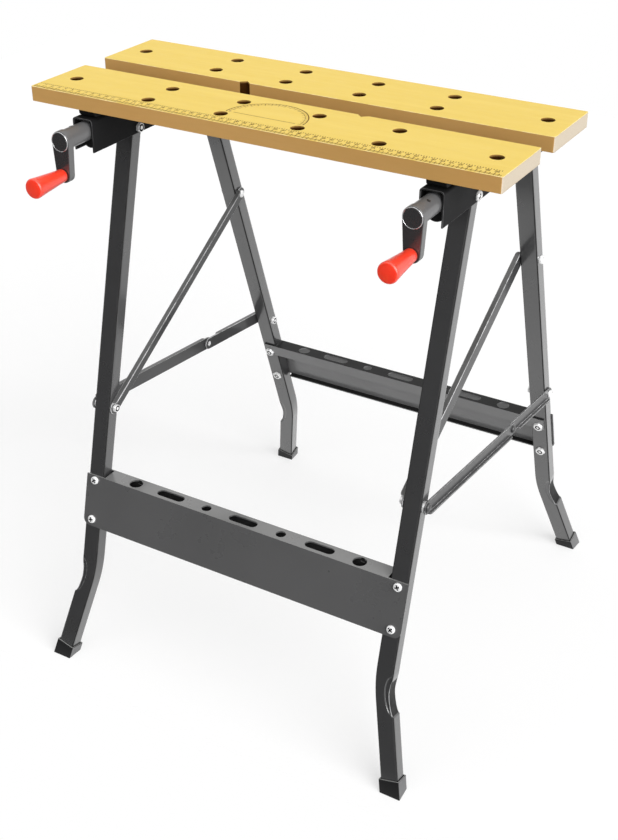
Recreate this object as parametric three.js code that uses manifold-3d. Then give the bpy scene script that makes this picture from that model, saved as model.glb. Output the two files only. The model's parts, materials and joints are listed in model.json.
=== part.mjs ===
// Folding workbench with two jaw boards, in millimetres, +Z up.
// +X runs along the boards, -Y is the side with the cranks, the origin lies on
// the floor under the middle of the footprint. Shown standing, jaws partly open.
import * as THREE from 'three';
import { mergeVertices } from 'three/addons/utils/BufferGeometryUtils.js';
import Module from 'manifold-3d';

const wasm = await Module();
wasm.setup();

// Worktop boards (one board shape, the rear one turned half round)
const WORKTOP_HEIGHT = 780;
const BOARD_LENGTH = 605;
const BOARD_DEPTH = 102;
const BOARD_THICKNESS = 18;
const BOARD_CORNER = 2;
const FRONT_BOARD_EDGE = -204;
const JAW_GAP = 38;
const DOG_HOLE_RADIUS = 8;
const DOG_ROW_OFFSET = 24;
const DOG_COLUMN_PITCH = 100;
const DOG_END_INSET = 28.5;
const NOTCH_HALF = 7;
const NOTCH_DEPTH = 6;
const NOTCH_X = 91;

// Frame stance
const FOOTPRINT_HALF_DEPTH = 314;
const PIVOT_DROP = 60;
const FRONT_PIVOT_INSET = 88.5;
const REAR_PIVOT_INSET = 29.5;

// Legs: rectangular tube, lower end bent outward over a pressed dent
const LEG_INSET = 75.5;
const LEG_WIDTH = 23.5;
const LEG_DEPTH = 18.5;
const LEG_CORNER = 2;
const LEG_BEND_RADIUS = 200;
const FOOT_SPLAY = THREE.MathUtils.degToRad(13);
const FOOT_OFFSET = 33;
const LEG_END_LIFT = 7;
const KNUCKLE_INSET = 0.5;
const DENT_SHARE = 0.8;
const DENT_LENGTH = 60;
const DENT_DEPTH = 4.5;
const CREASE_LENGTH = 52;
const CREASE_INSET = 11;
const CREASE_DEPTH = 0.6;

// Foot caps
const CAP_WALL = 2;
const CAP_HEIGHT = 19;
const CAP_FIT = 0.25;

// Top rails, brackets and jaw drive
const RAIL_WALL = 2;
const RAIL_CLEARANCE = 0.5;
const RAIL_HEIGHT = 40;
const RAIL_CORNER = 4;
const RAIL_LEAD = 2;
const RAIL_LENGTH = 284;
const SPACER_HEIGHT = 9;
const BRACKET_INSET = 10;
const BRACKET_WIDTH = 24;
const BRACKET_PLATE = 3;
const BRACKET_FOOT = 13;
const BRACKET_LENGTH = 80;
const BRACKET_CORNER = 4;
const SCREW_DROP = 43;
const SCREW_RADIUS = 5;
const SCREW_END_INSET = 6;
const SCREW_TIP = 2;
const JOURNAL_RADIUS = 6;
const COLLAR_RADIUS = 9;
const COLLAR_LENGTH = 4;
const BUSH_INSET = 11.5;
const BUSH_LENGTH = 12;
const BUSH_FIT = 0.3;
const BUSH_LIFT = 1;
const TRAVEL_CLOSE = 37.5;
const TRAVEL_OPEN = 60;
const NUT_WIDTH = 22;
const NUT_LENGTH = 36;
const NUT_BELOW = 6.5;
const NECK_WIDTH = 10;
const NECK_LENGTH = 28;
const CARRIAGE_WIDTH = 28;
const CARRIAGE_LENGTH = 60;
const SLIDE_CLEARANCE = 0.4;
const SLOT_CLEARANCE = 1;

// Cranks
const HUB_RADIUS = 11.5;
const HUB_INSET = 10;
const CRANK_REACH = 42;
const ARM_THICKNESS = 10;
const ARM_TOP_RADIUS = 12.5;
const ARM_LOW_RADIUS = 10;
const CRANK_THROW = 40;
const BOSS_RADIUS = 11;
const BOSS_HEIGHT = 0.8;
const PIN_RADIUS = 4;
const PIN_LENGTH = 44;
const KNOB_LENGTH = 53;
const KNOB_ROOT_RADIUS = 7.8;
const KNOB_END_RADIUS = 12;
const KNOB_EDGE = 2;
const KNOB_DOME = 0.4;
const KNOB_ROOT_EDGE = 1;
const KNOB_FIT = 0.3;
const KNOB_GAP = 0.8;

// Tool rails: folded sheet, tilted plate, level flange, lip behind the legs
const SHEET = 2;
const SHEET_FIT = 0.2;
const NOTCH_RELIEF = 0.1;
const TOOL_RAIL_TOP = 275;
const TOOL_RAIL_DROP = 73;
const TOOL_RAIL_MARGIN = 1.75;
const FLANGE_GAP = 3.25;
const LIP_DROP = 20;
const HEM_WIDTH = 9;
const PLATE_CORNER = 10;
const LIP_CORNER = 7;
const TOOL_HOLE_PITCH = 56;
const TOOL_HOLE_RADIUS = 9;
const TOOL_SLOT_LENGTH = 41;
const TOOL_SLOT_WIDTH = 13;
const SMALL_HOLE_RADIUS = 6.5;
const UPPER_SCREW_DROP = 6.7;
const LOWER_SCREW_DROP = 63;

// Linkage, measured along the legs from their top pivots
const FRONT_LINK_DROP = 365;
const DIAGONAL_DROP = 170;
const REAR_STAY_DROP = 420;
const RIVET_SHARE = 0.65;
const LINK_SHEET = 2;
const LINK_GAP = 0.5;
const STAY_WIDTH = 17.5;
const STAY_FLANGE = 6;
const STAY_END_TRIM = 1;
const FRONT_RIVET_TRIM = 6;
const REAR_RIVET_TRIM = 22;
const DIAGONAL_WIDTH = 18;
const DIAGONAL_FLANGE = 7;
const DIAGONAL_TRIM = 1;

// Fasteners
const PIVOT_BOLT_RADIUS = 4;
const LINK_BOLT_RADIUS = 3.5;
const SHEET_SCREW_RADIUS = 2.9;
const RIVET_RADIUS = 3;
const BORE_FIT = 0.3;
const BOLT_HEAD_RADIUS = 5.5;
const BOLT_HEAD_HEIGHT = 3;
const BOLT_NUT_RADIUS = 6;
const BOLT_NUT_HEIGHT = 4;
const HEAD_RIM_SHARE = 0.35;
const HEAD_CROWN_SHARE = 0.6;
const RIVET_HEAD_RADIUS = 5;
const SPACER_RADIUS = 7;
const WASHER_FIT = 0.2;

// Facets round a small bore or fastener, a plain round, a round that shows most, and a
// large round of which only a short arc cuts
const SMALL = 10;
const ROUND = 16;
const FINE = 24;
const LARGE = 64;

// How far shapes overlap before they are joined, and cutters run past a face
const OVERLAP = 1;

// Positions that follow from the sizes above
const BOARD_FOOT = WORKTOP_HEIGHT - BOARD_THICKNESS;
const FRONT_BOARD_Y = FRONT_BOARD_EDGE + BOARD_DEPTH / 2;
const REAR_BOARD_Y = FRONT_BOARD_Y + BOARD_DEPTH + JAW_GAP;
const DOG_END_COLUMN = BOARD_LENGTH / 2 - DOG_END_INSET;
const LEG_X = BOARD_LENGTH / 2 - LEG_INSET;
const LEG_OUTER = LEG_X + LEG_WIDTH / 2;
const LEG_INNER = LEG_X - LEG_WIDTH / 2;
const RAIL_TOP = BOARD_FOOT - SPACER_HEIGHT;
const RAIL_INNER = LEG_WIDTH + 2 * RAIL_CLEARANCE;
const RAIL_WIDTH = RAIL_INNER + 2 * RAIL_WALL;
const RAIL_FRONT = FRONT_BOARD_EDGE - RAIL_LEAD;
const RAIL_REAR = RAIL_FRONT + RAIL_LENGTH;
const SCREW_HEIGHT = WORKTOP_HEIGHT - SCREW_DROP;
const SCREW_END = RAIL_REAR - SCREW_END_INSET;
const BUSH_FRONT = RAIL_FRONT + BUSH_INSET;
const BUSH_FOOT = RAIL_TOP - RAIL_HEIGHT + BUSH_LIFT;
const NUT_FOOT = SCREW_HEIGHT - NUT_BELOW;
const HUB_INNER_END = RAIL_FRONT + HUB_INSET;
const ARM_FRONT = RAIL_FRONT - CRANK_REACH;
const TOOL_RAIL_HALF = LEG_OUTER + TOOL_RAIL_MARGIN;
const FLANGE_HALF = LEG_INNER - FLANGE_GAP;
const PIVOT_HEIGHT = WORKTOP_HEIGHT - PIVOT_DROP;
const FRONT_PIVOT_Y = RAIL_FRONT + FRONT_PIVOT_INSET;
const REAR_PIVOT_Y = RAIL_REAR - REAR_PIVOT_INSET;

// Lean that brings the outer edge of a foot cap to the edge of the footprint, for a pivot
// that far inside it.
function leanOf(spread) {
  const capReach = LEG_DEPTH / 2 + CAP_WALL;
  const slant = Math.hypot(spread, PIVOT_HEIGHT);
  return Math.acos(capReach / slant) - Math.atan2(PIVOT_HEIGHT, spread);
}
const FRONT_LEAN = leanOf(FOOTPRINT_HALF_DEPTH + FRONT_PIVOT_Y);
const REAR_LEAN = leanOf(FOOTPRINT_HALF_DEPTH - REAR_PIVOT_Y);

// A leg frame stands on its pivot line: local z runs up the leg, local y is its depth.
const frontFrame = new THREE.Matrix4().makeTranslation(0, FRONT_PIVOT_Y, PIVOT_HEIGHT)
  .multiply(new THREE.Matrix4().makeRotationX(-FRONT_LEAN));
const rearFrame = new THREE.Matrix4().makeTranslation(0, REAR_PIVOT_Y, PIVOT_HEIGHT)
  .multiply(new THREE.Matrix4().makeRotationX(REAR_LEAN));

const onLeg = (frame, drop) => new THREE.Vector3(0, 0, -drop).applyMatrix4(frame);
const FRONT_LINK = onLeg(frontFrame, FRONT_LINK_DROP);
const DIAGONAL_TOP = onLeg(rearFrame, DIAGONAL_DROP);
const REAR_STAY = onLeg(rearFrame, REAR_STAY_DROP);
const RIVET = FRONT_LINK.clone().lerp(REAR_STAY, RIVET_SHARE);

function toSolid(geometry) {
  const bare = geometry.clone();
  bare.deleteAttribute('normal');
  bare.deleteAttribute('uv');
  const merged = mergeVertices(bare, 1e-4);
  return new wasm.Manifold(new wasm.Mesh({
    numProp: 3,
    vertProperties: new Float32Array(merged.attributes.position.array),
    triVerts: new Uint32Array(merged.index.array),
  }));
}

function toGeometry(solid) {
  const mesh = solid.getMesh();
  const geometry = new THREE.BufferGeometry();
  geometry.setAttribute('position', new THREE.BufferAttribute(new Float32Array(mesh.vertProperties), 3));
  geometry.setIndex(new THREE.BufferAttribute(new Uint32Array(mesh.triVerts), 1));
  return geometry;
}

function fuse(...geometries) {
  return toGeometry(geometries.map(toSolid).reduce((sum, solid) => sum.add(solid)));
}

function carve(body, ...cutters) {
  return toGeometry(cutters.map(toSolid).reduce((left, cutter) => left.subtract(cutter), toSolid(body)));
}

function keep(body, region) {
  return toGeometry(toSolid(body).intersect(toSolid(region)));
}

function boxBetween(x0, x1, y0, y1, z0, z1) {
  const box = new THREE.BoxGeometry(x1 - x0, y1 - y0, z1 - z0);
  return box.translate((x0 + x1) / 2, (y0 + y1) / 2, (z0 + z1) / 2);
}

function rodX(radius, x0, x1, y, z, segments = ROUND) {
  const rod = new THREE.CylinderGeometry(radius, radius, x1 - x0, segments);
  return rod.rotateZ(-Math.PI / 2).translate((x0 + x1) / 2, y, z);
}

function rodY(radius, y0, y1, x, z, segments = ROUND) {
  const rod = new THREE.CylinderGeometry(radius, radius, y1 - y0, segments);
  return rod.translate(x, (y0 + y1) / 2, z);
}

function rodZ(radius, z0, z1, x, y, segments = ROUND) {
  const rod = new THREE.CylinderGeometry(radius, radius, z1 - z0, segments);
  return rod.rotateX(Math.PI / 2).translate(x, y, (z0 + z1) / 2);
}

// Outline drawn in X and Z, thickness running from y0 to y1.
function slabY(outline, y0, y1) {
  const slab = new THREE.ExtrudeGeometry(outline, { depth: y1 - y0, bevelEnabled: false, curveSegments: 6 });
  return slab.rotateX(Math.PI / 2).translate(0, y1, 0);
}

// Outline drawn in Y and Z, thickness running from x0 to x1.
function slabX(outline, x0, x1) {
  const slab = new THREE.ExtrudeGeometry(outline, { depth: x1 - x0, bevelEnabled: false, curveSegments: 4 });
  const turn = new THREE.Matrix4().makeBasis(
    new THREE.Vector3(0, 1, 0),
    new THREE.Vector3(0, 0, 1),
    new THREE.Vector3(1, 0, 0),
  );
  return slab.applyMatrix4(turn).translate(x0, 0, 0);
}

// Lathe profile [radius, height] turned about a line along +Y.
function turnedY(profile, segments = FINE) {
  return new THREE.LatheGeometry(profile.map(([r, h]) => new THREE.Vector2(r, h)), segments);
}

// Lathe profile turned about a line along +X.
function turnedX(profile) {
  return turnedY(profile, SMALL).rotateZ(-Math.PI / 2);
}

function roundedRectangle(width, height, radius) {
  const w = width / 2;
  const h = height / 2;
  const shape = new THREE.Shape();
  shape.moveTo(-w + radius, -h);
  shape.lineTo(w - radius, -h);
  shape.absarc(w - radius, -h + radius, radius, -Math.PI / 2, 0, false);
  shape.lineTo(w, h - radius);
  shape.absarc(w - radius, h - radius, radius, 0, Math.PI / 2, false);
  shape.lineTo(-w + radius, h);
  shape.absarc(-w + radius, h - radius, radius, Math.PI / 2, Math.PI, false);
  shape.lineTo(-w, -h + radius);
  shape.absarc(-w + radius, -h + radius, radius, Math.PI, 1.5 * Math.PI, false);
  return shape;
}

// Bar with round ends, their centres at the origin and at x = span.
function roundEnded(span, width) {
  const shape = new THREE.Shape();
  shape.absarc(span, 0, width / 2, -Math.PI / 2, Math.PI / 2, false);
  shape.absarc(0, 0, width / 2, Math.PI / 2, 1.5 * Math.PI, false);
  return shape;
}

function board() {
  const w = BOARD_LENGTH / 2;
  const h = BOARD_DEPTH / 2;
  const c = BOARD_CORNER;
  const shape = new THREE.Shape();
  shape.moveTo(-w + c, -h);
  shape.lineTo(w - c, -h);
  shape.lineTo(w, -h + c);
  shape.lineTo(w, h - c);
  shape.lineTo(w - c, h);
  shape.lineTo(NOTCH_X + NOTCH_HALF, h);
  shape.lineTo(NOTCH_X, h - NOTCH_DEPTH);
  shape.lineTo(NOTCH_X - NOTCH_HALF, h);
  shape.lineTo(-w + c, h);
  shape.lineTo(-w, h - c);
  shape.lineTo(-w, -h + c);
  const centres = [[-DOG_END_COLUMN, 0], [DOG_END_COLUMN, 0]];
  for (const step of [0.5, 1.5]) {
    for (const x of [-step * DOG_COLUMN_PITCH, step * DOG_COLUMN_PITCH]) {
      centres.push([x, -DOG_ROW_OFFSET], [x, DOG_ROW_OFFSET]);
    }
  }
  for (const [x, y] of centres) {
    const hole = new THREE.Path();
    hole.absarc(x, y, DOG_HOLE_RADIUS, 0, 2 * Math.PI, true);
    shape.holes.push(hole);
  }
  const slab = new THREE.ExtrudeGeometry(shape, {
    depth: BOARD_THICKNESS, bevelEnabled: false, curveSegments: 8,
  });
  return slab.translate(0, 0, BOARD_FOOT);
}

// Rails: pressed channel, open below, slotted on top for the jaw carriage
function rail() {
  const w = RAIL_WIDTH / 2;
  const i = RAIL_INNER / 2;
  const r = RAIL_CORNER;
  const top = RAIL_TOP;
  const low = RAIL_TOP - RAIL_HEIGHT;
  const shape = new THREE.Shape();
  shape.moveTo(-w, low);
  shape.lineTo(-i, low);
  shape.lineTo(-i, top - r);
  shape.absarc(-i + r - RAIL_WALL, top - r, r - RAIL_WALL, Math.PI, Math.PI / 2, true);
  shape.lineTo(i - r + RAIL_WALL, top - RAIL_WALL);
  shape.absarc(i - r + RAIL_WALL, top - r, r - RAIL_WALL, Math.PI / 2, 0, true);
  shape.lineTo(i, low);
  shape.lineTo(w, low);
  shape.lineTo(w, top - r);
  shape.absarc(w - r, top - r, r, 0, Math.PI / 2, false);
  shape.lineTo(-w + r, top);
  shape.absarc(-w + r, top - r, r, Math.PI / 2, Math.PI, false);
  const channel = new THREE.ExtrudeGeometry(shape, {
    depth: RAIL_REAR - RAIL_FRONT, bevelEnabled: false, curveSegments: 4,
  });
  channel.rotateX(Math.PI / 2).translate(LEG_X, RAIL_REAR, 0);
  const half = NECK_WIDTH / 2 + SLOT_CLEARANCE;
  const reach = NECK_LENGTH / 2 + SLOT_CLEARANCE;
  const slot = boxBetween(
    LEG_X - half, LEG_X + half,
    REAR_BOARD_Y - reach - TRAVEL_CLOSE, REAR_BOARD_Y + reach + TRAVEL_OPEN,
    top - 2 * RAIL_WALL, top + RAIL_WALL,
  );
  const bore = PIVOT_BOLT_RADIUS + BORE_FIT;
  const bores = [FRONT_PIVOT_Y, REAR_PIVOT_Y].map(
    (y) => rodX(bore, LEG_X - RAIL_WIDTH, LEG_X + RAIL_WIDTH, y, PIVOT_HEIGHT, SMALL),
  );
  return carve(channel, slot, ...bores);
}

// Bridge bracket that carries the front board clear of the rail
function frontBracket() {
  const y0 = RAIL_FRONT + BRACKET_INSET;
  const y1 = y0 + BRACKET_LENGTH;
  const low = RAIL_TOP;
  const high = BOARD_FOOT;
  const arch = high - BRACKET_PLATE;
  const c = BRACKET_CORNER;
  const shape = new THREE.Shape();
  shape.moveTo(y0, high);
  shape.lineTo(y0, low + c);
  shape.quadraticCurveTo(y0, low, y0 + c, low);
  shape.lineTo(y0 + BRACKET_FOOT, low);
  shape.lineTo(y0 + BRACKET_FOOT, arch);
  shape.lineTo(y1 - BRACKET_FOOT, arch);
  shape.lineTo(y1 - BRACKET_FOOT, low);
  shape.lineTo(y1 - c, low);
  shape.quadraticCurveTo(y1, low, y1, low + c);
  shape.lineTo(y1, high);
  return slabX(shape, LEG_X - BRACKET_WIDTH / 2, LEG_X + BRACKET_WIDTH / 2);
}

// Nut block in the channel, neck through the slot, plate under the rear board
function carriage() {
  const y = REAR_BOARD_Y;
  const neckTop = RAIL_TOP + SLIDE_CLEARANCE;
  const blockTop = RAIL_TOP - RAIL_WALL - SLOT_CLEARANCE;
  const block = boxBetween(
    LEG_X - NUT_WIDTH / 2, LEG_X + NUT_WIDTH / 2, y - NUT_LENGTH / 2, y + NUT_LENGTH / 2, NUT_FOOT, blockTop,
  );
  const neck = boxBetween(
    LEG_X - NECK_WIDTH / 2, LEG_X + NECK_WIDTH / 2, y - NECK_LENGTH / 2, y + NECK_LENGTH / 2,
    blockTop - OVERLAP, neckTop + OVERLAP,
  );
  const plate = new THREE.ExtrudeGeometry(roundedRectangle(CARRIAGE_WIDTH, CARRIAGE_LENGTH, BRACKET_CORNER), {
    depth: BOARD_FOOT - neckTop, bevelEnabled: false, curveSegments: 4,
  });
  plate.translate(LEG_X, y, neckTop);
  const thread = rodY(SCREW_RADIUS + BORE_FIT, y - NUT_LENGTH, y + NUT_LENGTH, LEG_X, SCREW_HEIGHT, FINE);
  return carve(fuse(block, neck, plate), thread);
}

function leadScrew() {
  const bushRear = BUSH_FRONT + BUSH_LENGTH + BUSH_FIT;
  const profile = [
    [0, HUB_INNER_END],
    [JOURNAL_RADIUS, HUB_INNER_END],
    [JOURNAL_RADIUS, bushRear],
    [COLLAR_RADIUS, bushRear],
    [COLLAR_RADIUS, bushRear + COLLAR_LENGTH],
    [SCREW_RADIUS, bushRear + COLLAR_LENGTH],
    [SCREW_RADIUS, SCREW_END - SCREW_TIP],
    [SCREW_RADIUS - SCREW_TIP, SCREW_END],
    [0, SCREW_END],
  ];
  return turnedY(profile, ROUND).translate(LEG_X, 0, SCREW_HEIGHT);
}

// End plug of the rail: square above, round below, bored for the screw journal
function screwBush() {
  const w = RAIL_INNER / 2 - BUSH_FIT;
  const top = RAIL_TOP - RAIL_WALL - BUSH_FIT;
  const chamfer = RAIL_CORNER - RAIL_WALL;
  const shape = new THREE.Shape();
  shape.moveTo(-w, BUSH_FOOT + w);
  shape.absarc(0, BUSH_FOOT + w, w, Math.PI, 2 * Math.PI, false);
  shape.lineTo(w, top - chamfer);
  shape.lineTo(w - chamfer, top);
  shape.lineTo(-w + chamfer, top);
  shape.lineTo(-w, top - chamfer);
  const bore = new THREE.Path();
  bore.absarc(0, SCREW_HEIGHT, JOURNAL_RADIUS + BUSH_FIT, 0, 2 * Math.PI, true);
  shape.holes.push(bore);
  return slabY(shape, BUSH_FRONT, BUSH_FRONT + BUSH_LENGTH).translate(LEG_X, 0, 0);
}

// Crank: hub, tapered arm with a round boss, and the pin the grip turns on
function crank() {
  const reach = CRANK_THROW;
  const lean = Math.asin((ARM_TOP_RADIUS - ARM_LOW_RADIUS) / reach);
  const arm = new THREE.Shape();
  arm.absarc(0, 0, ARM_TOP_RADIUS, -lean, Math.PI + lean, false);
  arm.absarc(0, -reach, ARM_LOW_RADIUS, Math.PI + lean, 2 * Math.PI - lean, false);
  const armRear = ARM_FRONT + ARM_THICKNESS;
  const plate = slabY(arm, ARM_FRONT, armRear).translate(LEG_X, 0, SCREW_HEIGHT);
  const inner = ARM_FRONT + OVERLAP;
  const hub = rodY(HUB_RADIUS, armRear - OVERLAP, HUB_INNER_END, LEG_X, SCREW_HEIGHT, FINE);
  const boss = rodY(BOSS_RADIUS, ARM_FRONT - BOSS_HEIGHT, inner, LEG_X, SCREW_HEIGHT, FINE);
  const pinY = ARM_FRONT - PIN_LENGTH;
  const pin = rodY(PIN_RADIUS, pinY, inner, LEG_X, SCREW_HEIGHT - reach);
  return fuse(plate, hub, boss, pin);
}

// Grip: flares towards its outer end, blind bore for the pin
function knob() {
  const root = ARM_FRONT - KNOB_GAP;
  const end = root - KNOB_LENGTH;
  const rim = end + KNOB_DOME;
  const bore = PIN_RADIUS + KNOB_FIT;
  const boreEnd = ARM_FRONT - PIN_LENGTH - KNOB_FIT;
  const profile = [
    [0, end],
    [KNOB_END_RADIUS - KNOB_EDGE, rim],
    [KNOB_END_RADIUS - KNOB_EDGE / 3, rim + KNOB_EDGE / 3],
    [KNOB_END_RADIUS, rim + KNOB_EDGE],
    [KNOB_ROOT_RADIUS, root - KNOB_ROOT_EDGE],
    [KNOB_ROOT_RADIUS - KNOB_ROOT_EDGE, root],
    [bore, root],
    [bore, boreEnd],
    [0, boreEnd],
  ];
  return turnedY(profile).translate(LEG_X, 0, SCREW_HEIGHT - CRANK_THROW);
}

// Middle line of a leg seen from the front: straight, bend, straight to the floor
function legLine(length) {
  const bendZ = -length + FOOT_OFFSET / Math.tan(FOOT_SPLAY);
  const tangent = LEG_BEND_RADIUS * Math.tan(FOOT_SPLAY / 2);
  const points = [];
  const steps = 5;
  for (let k = 0; k <= steps; k += 1) {
    const angle = FOOT_SPLAY * k / steps;
    points.push({
      x: LEG_BEND_RADIUS * (1 - Math.cos(angle)),
      z: bendZ + tangent - LEG_BEND_RADIUS * Math.sin(angle),
      angle,
    });
  }
  points.push({
    x: FOOT_OFFSET - LEG_END_LIFT * Math.sin(FOOT_SPLAY),
    z: -length + LEG_END_LIFT * Math.cos(FOOT_SPLAY),
    angle: FOOT_SPLAY,
  });
  return { bendZ, points };
}

// Leg at x = 0 with its pivot at the origin; the foot bends towards +x.
function leg(length, rodDrops, screwDrops) {
  const { bendZ, points } = legLine(length);
  const half = LEG_WIDTH / 2;
  const line = [{ x: 0, z: LEG_CORNER, angle: 0 }, ...points];
  const outer = line.map((p) => new THREE.Vector2(
    p.x + half * Math.cos(p.angle), p.z + half * Math.sin(p.angle),
  ));
  const inner = line.map((p) => new THREE.Vector2(
    p.x - half * Math.cos(p.angle), p.z - half * Math.sin(p.angle),
  ));
  const shape = new THREE.Shape([...inner, ...outer.reverse()]);
  const c = LEG_CORNER;
  const tube = new THREE.ExtrudeGeometry(shape, {
    depth: LEG_DEPTH - 2 * c,
    bevelEnabled: true,
    bevelThickness: c,
    bevelSize: c,
    bevelOffset: -c,
    bevelSegments: 2,
  });
  tube.rotateX(Math.PI / 2).translate(0, LEG_DEPTH / 2 - c, 0);
  const knuckle = rodX(LEG_DEPTH / 2, -half + KNUCKLE_INSET, half - KNUCKLE_INSET, 0, 0, FINE);
  const cutters = [];
  rodDrops.forEach(({ drop, radius }) => cutters.push(rodX(radius, -LEG_WIDTH, LEG_WIDTH, 0, -drop, SMALL)));
  const screwBore = SHEET_SCREW_RADIUS + BORE_FIT;
  screwDrops.forEach((drop) => cutters.push(rodY(screwBore, -LEG_DEPTH, LEG_DEPTH, 0, -drop, SMALL)));
  cutters.push(...dentCutters(bendZ, half));
  return carve(fuse(tube, knuckle), ...cutters);
}

// Pressed dent on the hollow side of the bend: a scallop across the side face, and the
// bow-shaped crease it leaves on the front and rear faces. Both lie at one share of the turn.
function dentCutters(bendZ, half) {
  const turn = DENT_SHARE * FOOT_SPLAY;
  const bendTop = bendZ + LEG_BEND_RADIUS * Math.tan(FOOT_SPLAY / 2);
  const y = LEG_DEPTH / 2;
  const press = (length, depth, y0, y1) => {
    const chord = length / 2;
    const radius = (chord * chord + depth * depth) / (2 * depth);
    const reach = half + radius - depth;
    const x = LEG_BEND_RADIUS * (1 - Math.cos(turn)) + reach * Math.cos(turn);
    const z = bendTop - LEG_BEND_RADIUS * Math.sin(turn) + reach * Math.sin(turn);
    return rodY(radius, y0, y1, x, z, LARGE);
  };
  return [
    press(DENT_LENGTH, DENT_DEPTH, -y - OVERLAP, y + OVERLAP),
    press(CREASE_LENGTH, CREASE_INSET, -y - OVERLAP, -y + CREASE_DEPTH),
    press(CREASE_LENGTH, CREASE_INSET, y - CREASE_DEPTH, y + OVERLAP),
  ];
}

// Cap pushed over a leg end, trimmed level with the floor
function footCap(frame, length) {
  const w = LEG_WIDTH / 2;
  const d = LEG_DEPTH / 2;
  const shell = boxBetween(
    -w - CAP_WALL, w + CAP_WALL, -d - CAP_WALL, d + CAP_WALL, -CAP_HEIGHT, CAP_HEIGHT,
  );
  const socket = boxBetween(
    -w - CAP_FIT, w + CAP_FIT, -d - CAP_FIT, d + CAP_FIT, LEG_END_LIFT - CAP_FIT, CAP_HEIGHT + OVERLAP,
  );
  const lower = new THREE.Matrix4().makeTranslation(LEG_X + FOOT_OFFSET, 0, -length)
    .multiply(new THREE.Matrix4().makeRotationY(-FOOT_SPLAY));
  const placed = carve(shell, socket).applyMatrix4(lower).applyMatrix4(frame);
  return keep(placed, boxBetween(0, BOARD_LENGTH, -BOARD_LENGTH, BOARD_LENGTH, 0, WORKTOP_HEIGHT));
}

// Folded sheet of constant thickness along a polyline, as an outline in Y and Z.
function sheetOutline(path, thickness) {
  const offset = path.map((point, k) => {
    const before = k > 0 ? point.clone().sub(path[k - 1]).normalize() : null;
    const after = k < path.length - 1 ? path[k + 1].clone().sub(point).normalize() : null;
    const a = before || after;
    const b = after || before;
    const na = new THREE.Vector2(-a.y, a.x);
    const nb = new THREE.Vector2(-b.y, b.x);
    const mitre = na.clone().add(nb);
    return point.clone().addScaledVector(mitre, thickness / (1 + na.dot(nb)));
  });
  return new THREE.Shape([...path, ...offset.reverse()]);
}

// Tool rail for one leg frame; side = -1 puts the plate on the front of the legs.
function toolRail(frame, lean, side) {
  const face = LEG_DEPTH / 2 + SHEET_FIT + SHEET;
  const at = (y, drop) => {
    const p = new THREE.Vector3(0, y, -drop).applyMatrix4(frame);
    return new THREE.Vector2(p.y, p.z);
  };
  const drop = (PIVOT_HEIGHT - TOOL_RAIL_TOP) / Math.cos(lean) + face * Math.tan(lean);
  const rise = 2 * face * Math.tan(lean);
  const lipTop = drop - rise;
  const path = [
    at(side * (face - HEM_WIDTH), drop + TOOL_RAIL_DROP),
    at(side * face, drop + TOOL_RAIL_DROP),
    at(side * face, drop),
    at(-side * face, lipTop),
    at(-side * face, lipTop + LIP_DROP),
  ];
  const folded = slabX(sheetOutline(path, side * SHEET), -TOOL_RAIL_HALF, TOOL_RAIL_HALF);
  const inside = LEG_DEPTH / 2 + SHEET_FIT + NOTCH_RELIEF;
  const outside = face + OVERLAP;
  const cutters = [];
  const corner = (x, z, r, sx) => {
    const shape = new THREE.Shape();
    shape.moveTo(x + sx * OVERLAP, z - OVERLAP);
    shape.lineTo(x + sx * OVERLAP, z + r);
    shape.lineTo(x, z + r);
    shape.absarc(x - sx * r, z + r, r, sx > 0 ? 0 : Math.PI, 1.5 * Math.PI, sx > 0);
    shape.lineTo(x - sx * r, z - OVERLAP);
    return shape;
  };
  for (const sx of [-1, 1]) {
    const x0 = sx > 0 ? FLANGE_HALF : -TOOL_RAIL_HALF - OVERLAP;
    const x1 = sx > 0 ? TOOL_RAIL_HALF + OVERLAP : -FLANGE_HALF;
    cutters.push(boxBetween(x0, x1, -inside, inside, -drop - 2 * TOOL_RAIL_DROP, -drop + 2 * TOOL_RAIL_DROP));
    const low = corner(sx * TOOL_RAIL_HALF, -drop - TOOL_RAIL_DROP, PLATE_CORNER, sx);
    const plateSpan = [side * outside, side * (inside - OVERLAP)].sort((a, b) => a - b);
    cutters.push(slabY(low, ...plateSpan));
    const ear = corner(sx * TOOL_RAIL_HALF, -lipTop - LIP_DROP, LIP_CORNER, sx);
    const lipSpan = [-side * outside, -side * (inside - OVERLAP)].sort((a, b) => a - b);
    cutters.push(slabY(ear, ...lipSpan));
    const bore = SHEET_SCREW_RADIUS + BORE_FIT;
    for (const depth of [UPPER_SCREW_DROP, LOWER_SCREW_DROP]) {
      cutters.push(rodY(bore, -2 * face, 2 * face, sx * LEG_X, -drop - depth, SMALL));
    }
  }
  cutters.forEach((cutter) => cutter.applyMatrix4(frame));
  const middle = at(0, (drop + lipTop) / 2);
  const z0 = TOOL_RAIL_TOP - 3 * SHEET;
  const z1 = TOOL_RAIL_TOP + 3 * SHEET;
  for (const k of [-3, 3]) {
    cutters.push(rodZ(TOOL_HOLE_RADIUS, z0, z1, k * TOOL_HOLE_PITCH, middle.x, FINE));
  }
  for (const k of [-1, 1]) {
    cutters.push(rodZ(SMALL_HOLE_RADIUS, z0, z1, k * TOOL_HOLE_PITCH, middle.x));
  }
  for (const k of [-2, 0, 2]) {
    const span = TOOL_SLOT_LENGTH - TOOL_SLOT_WIDTH;
    const slot = roundEnded(span, TOOL_SLOT_WIDTH);
    const cutter = new THREE.ExtrudeGeometry(slot, { depth: z1 - z0, bevelEnabled: false, curveSegments: 4 });
    cutters.push(cutter.translate(k * TOOL_HOLE_PITCH - span / 2, middle.x, z0));
  }
  return { body: carve(folded, ...cutters), drop };
}

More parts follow.
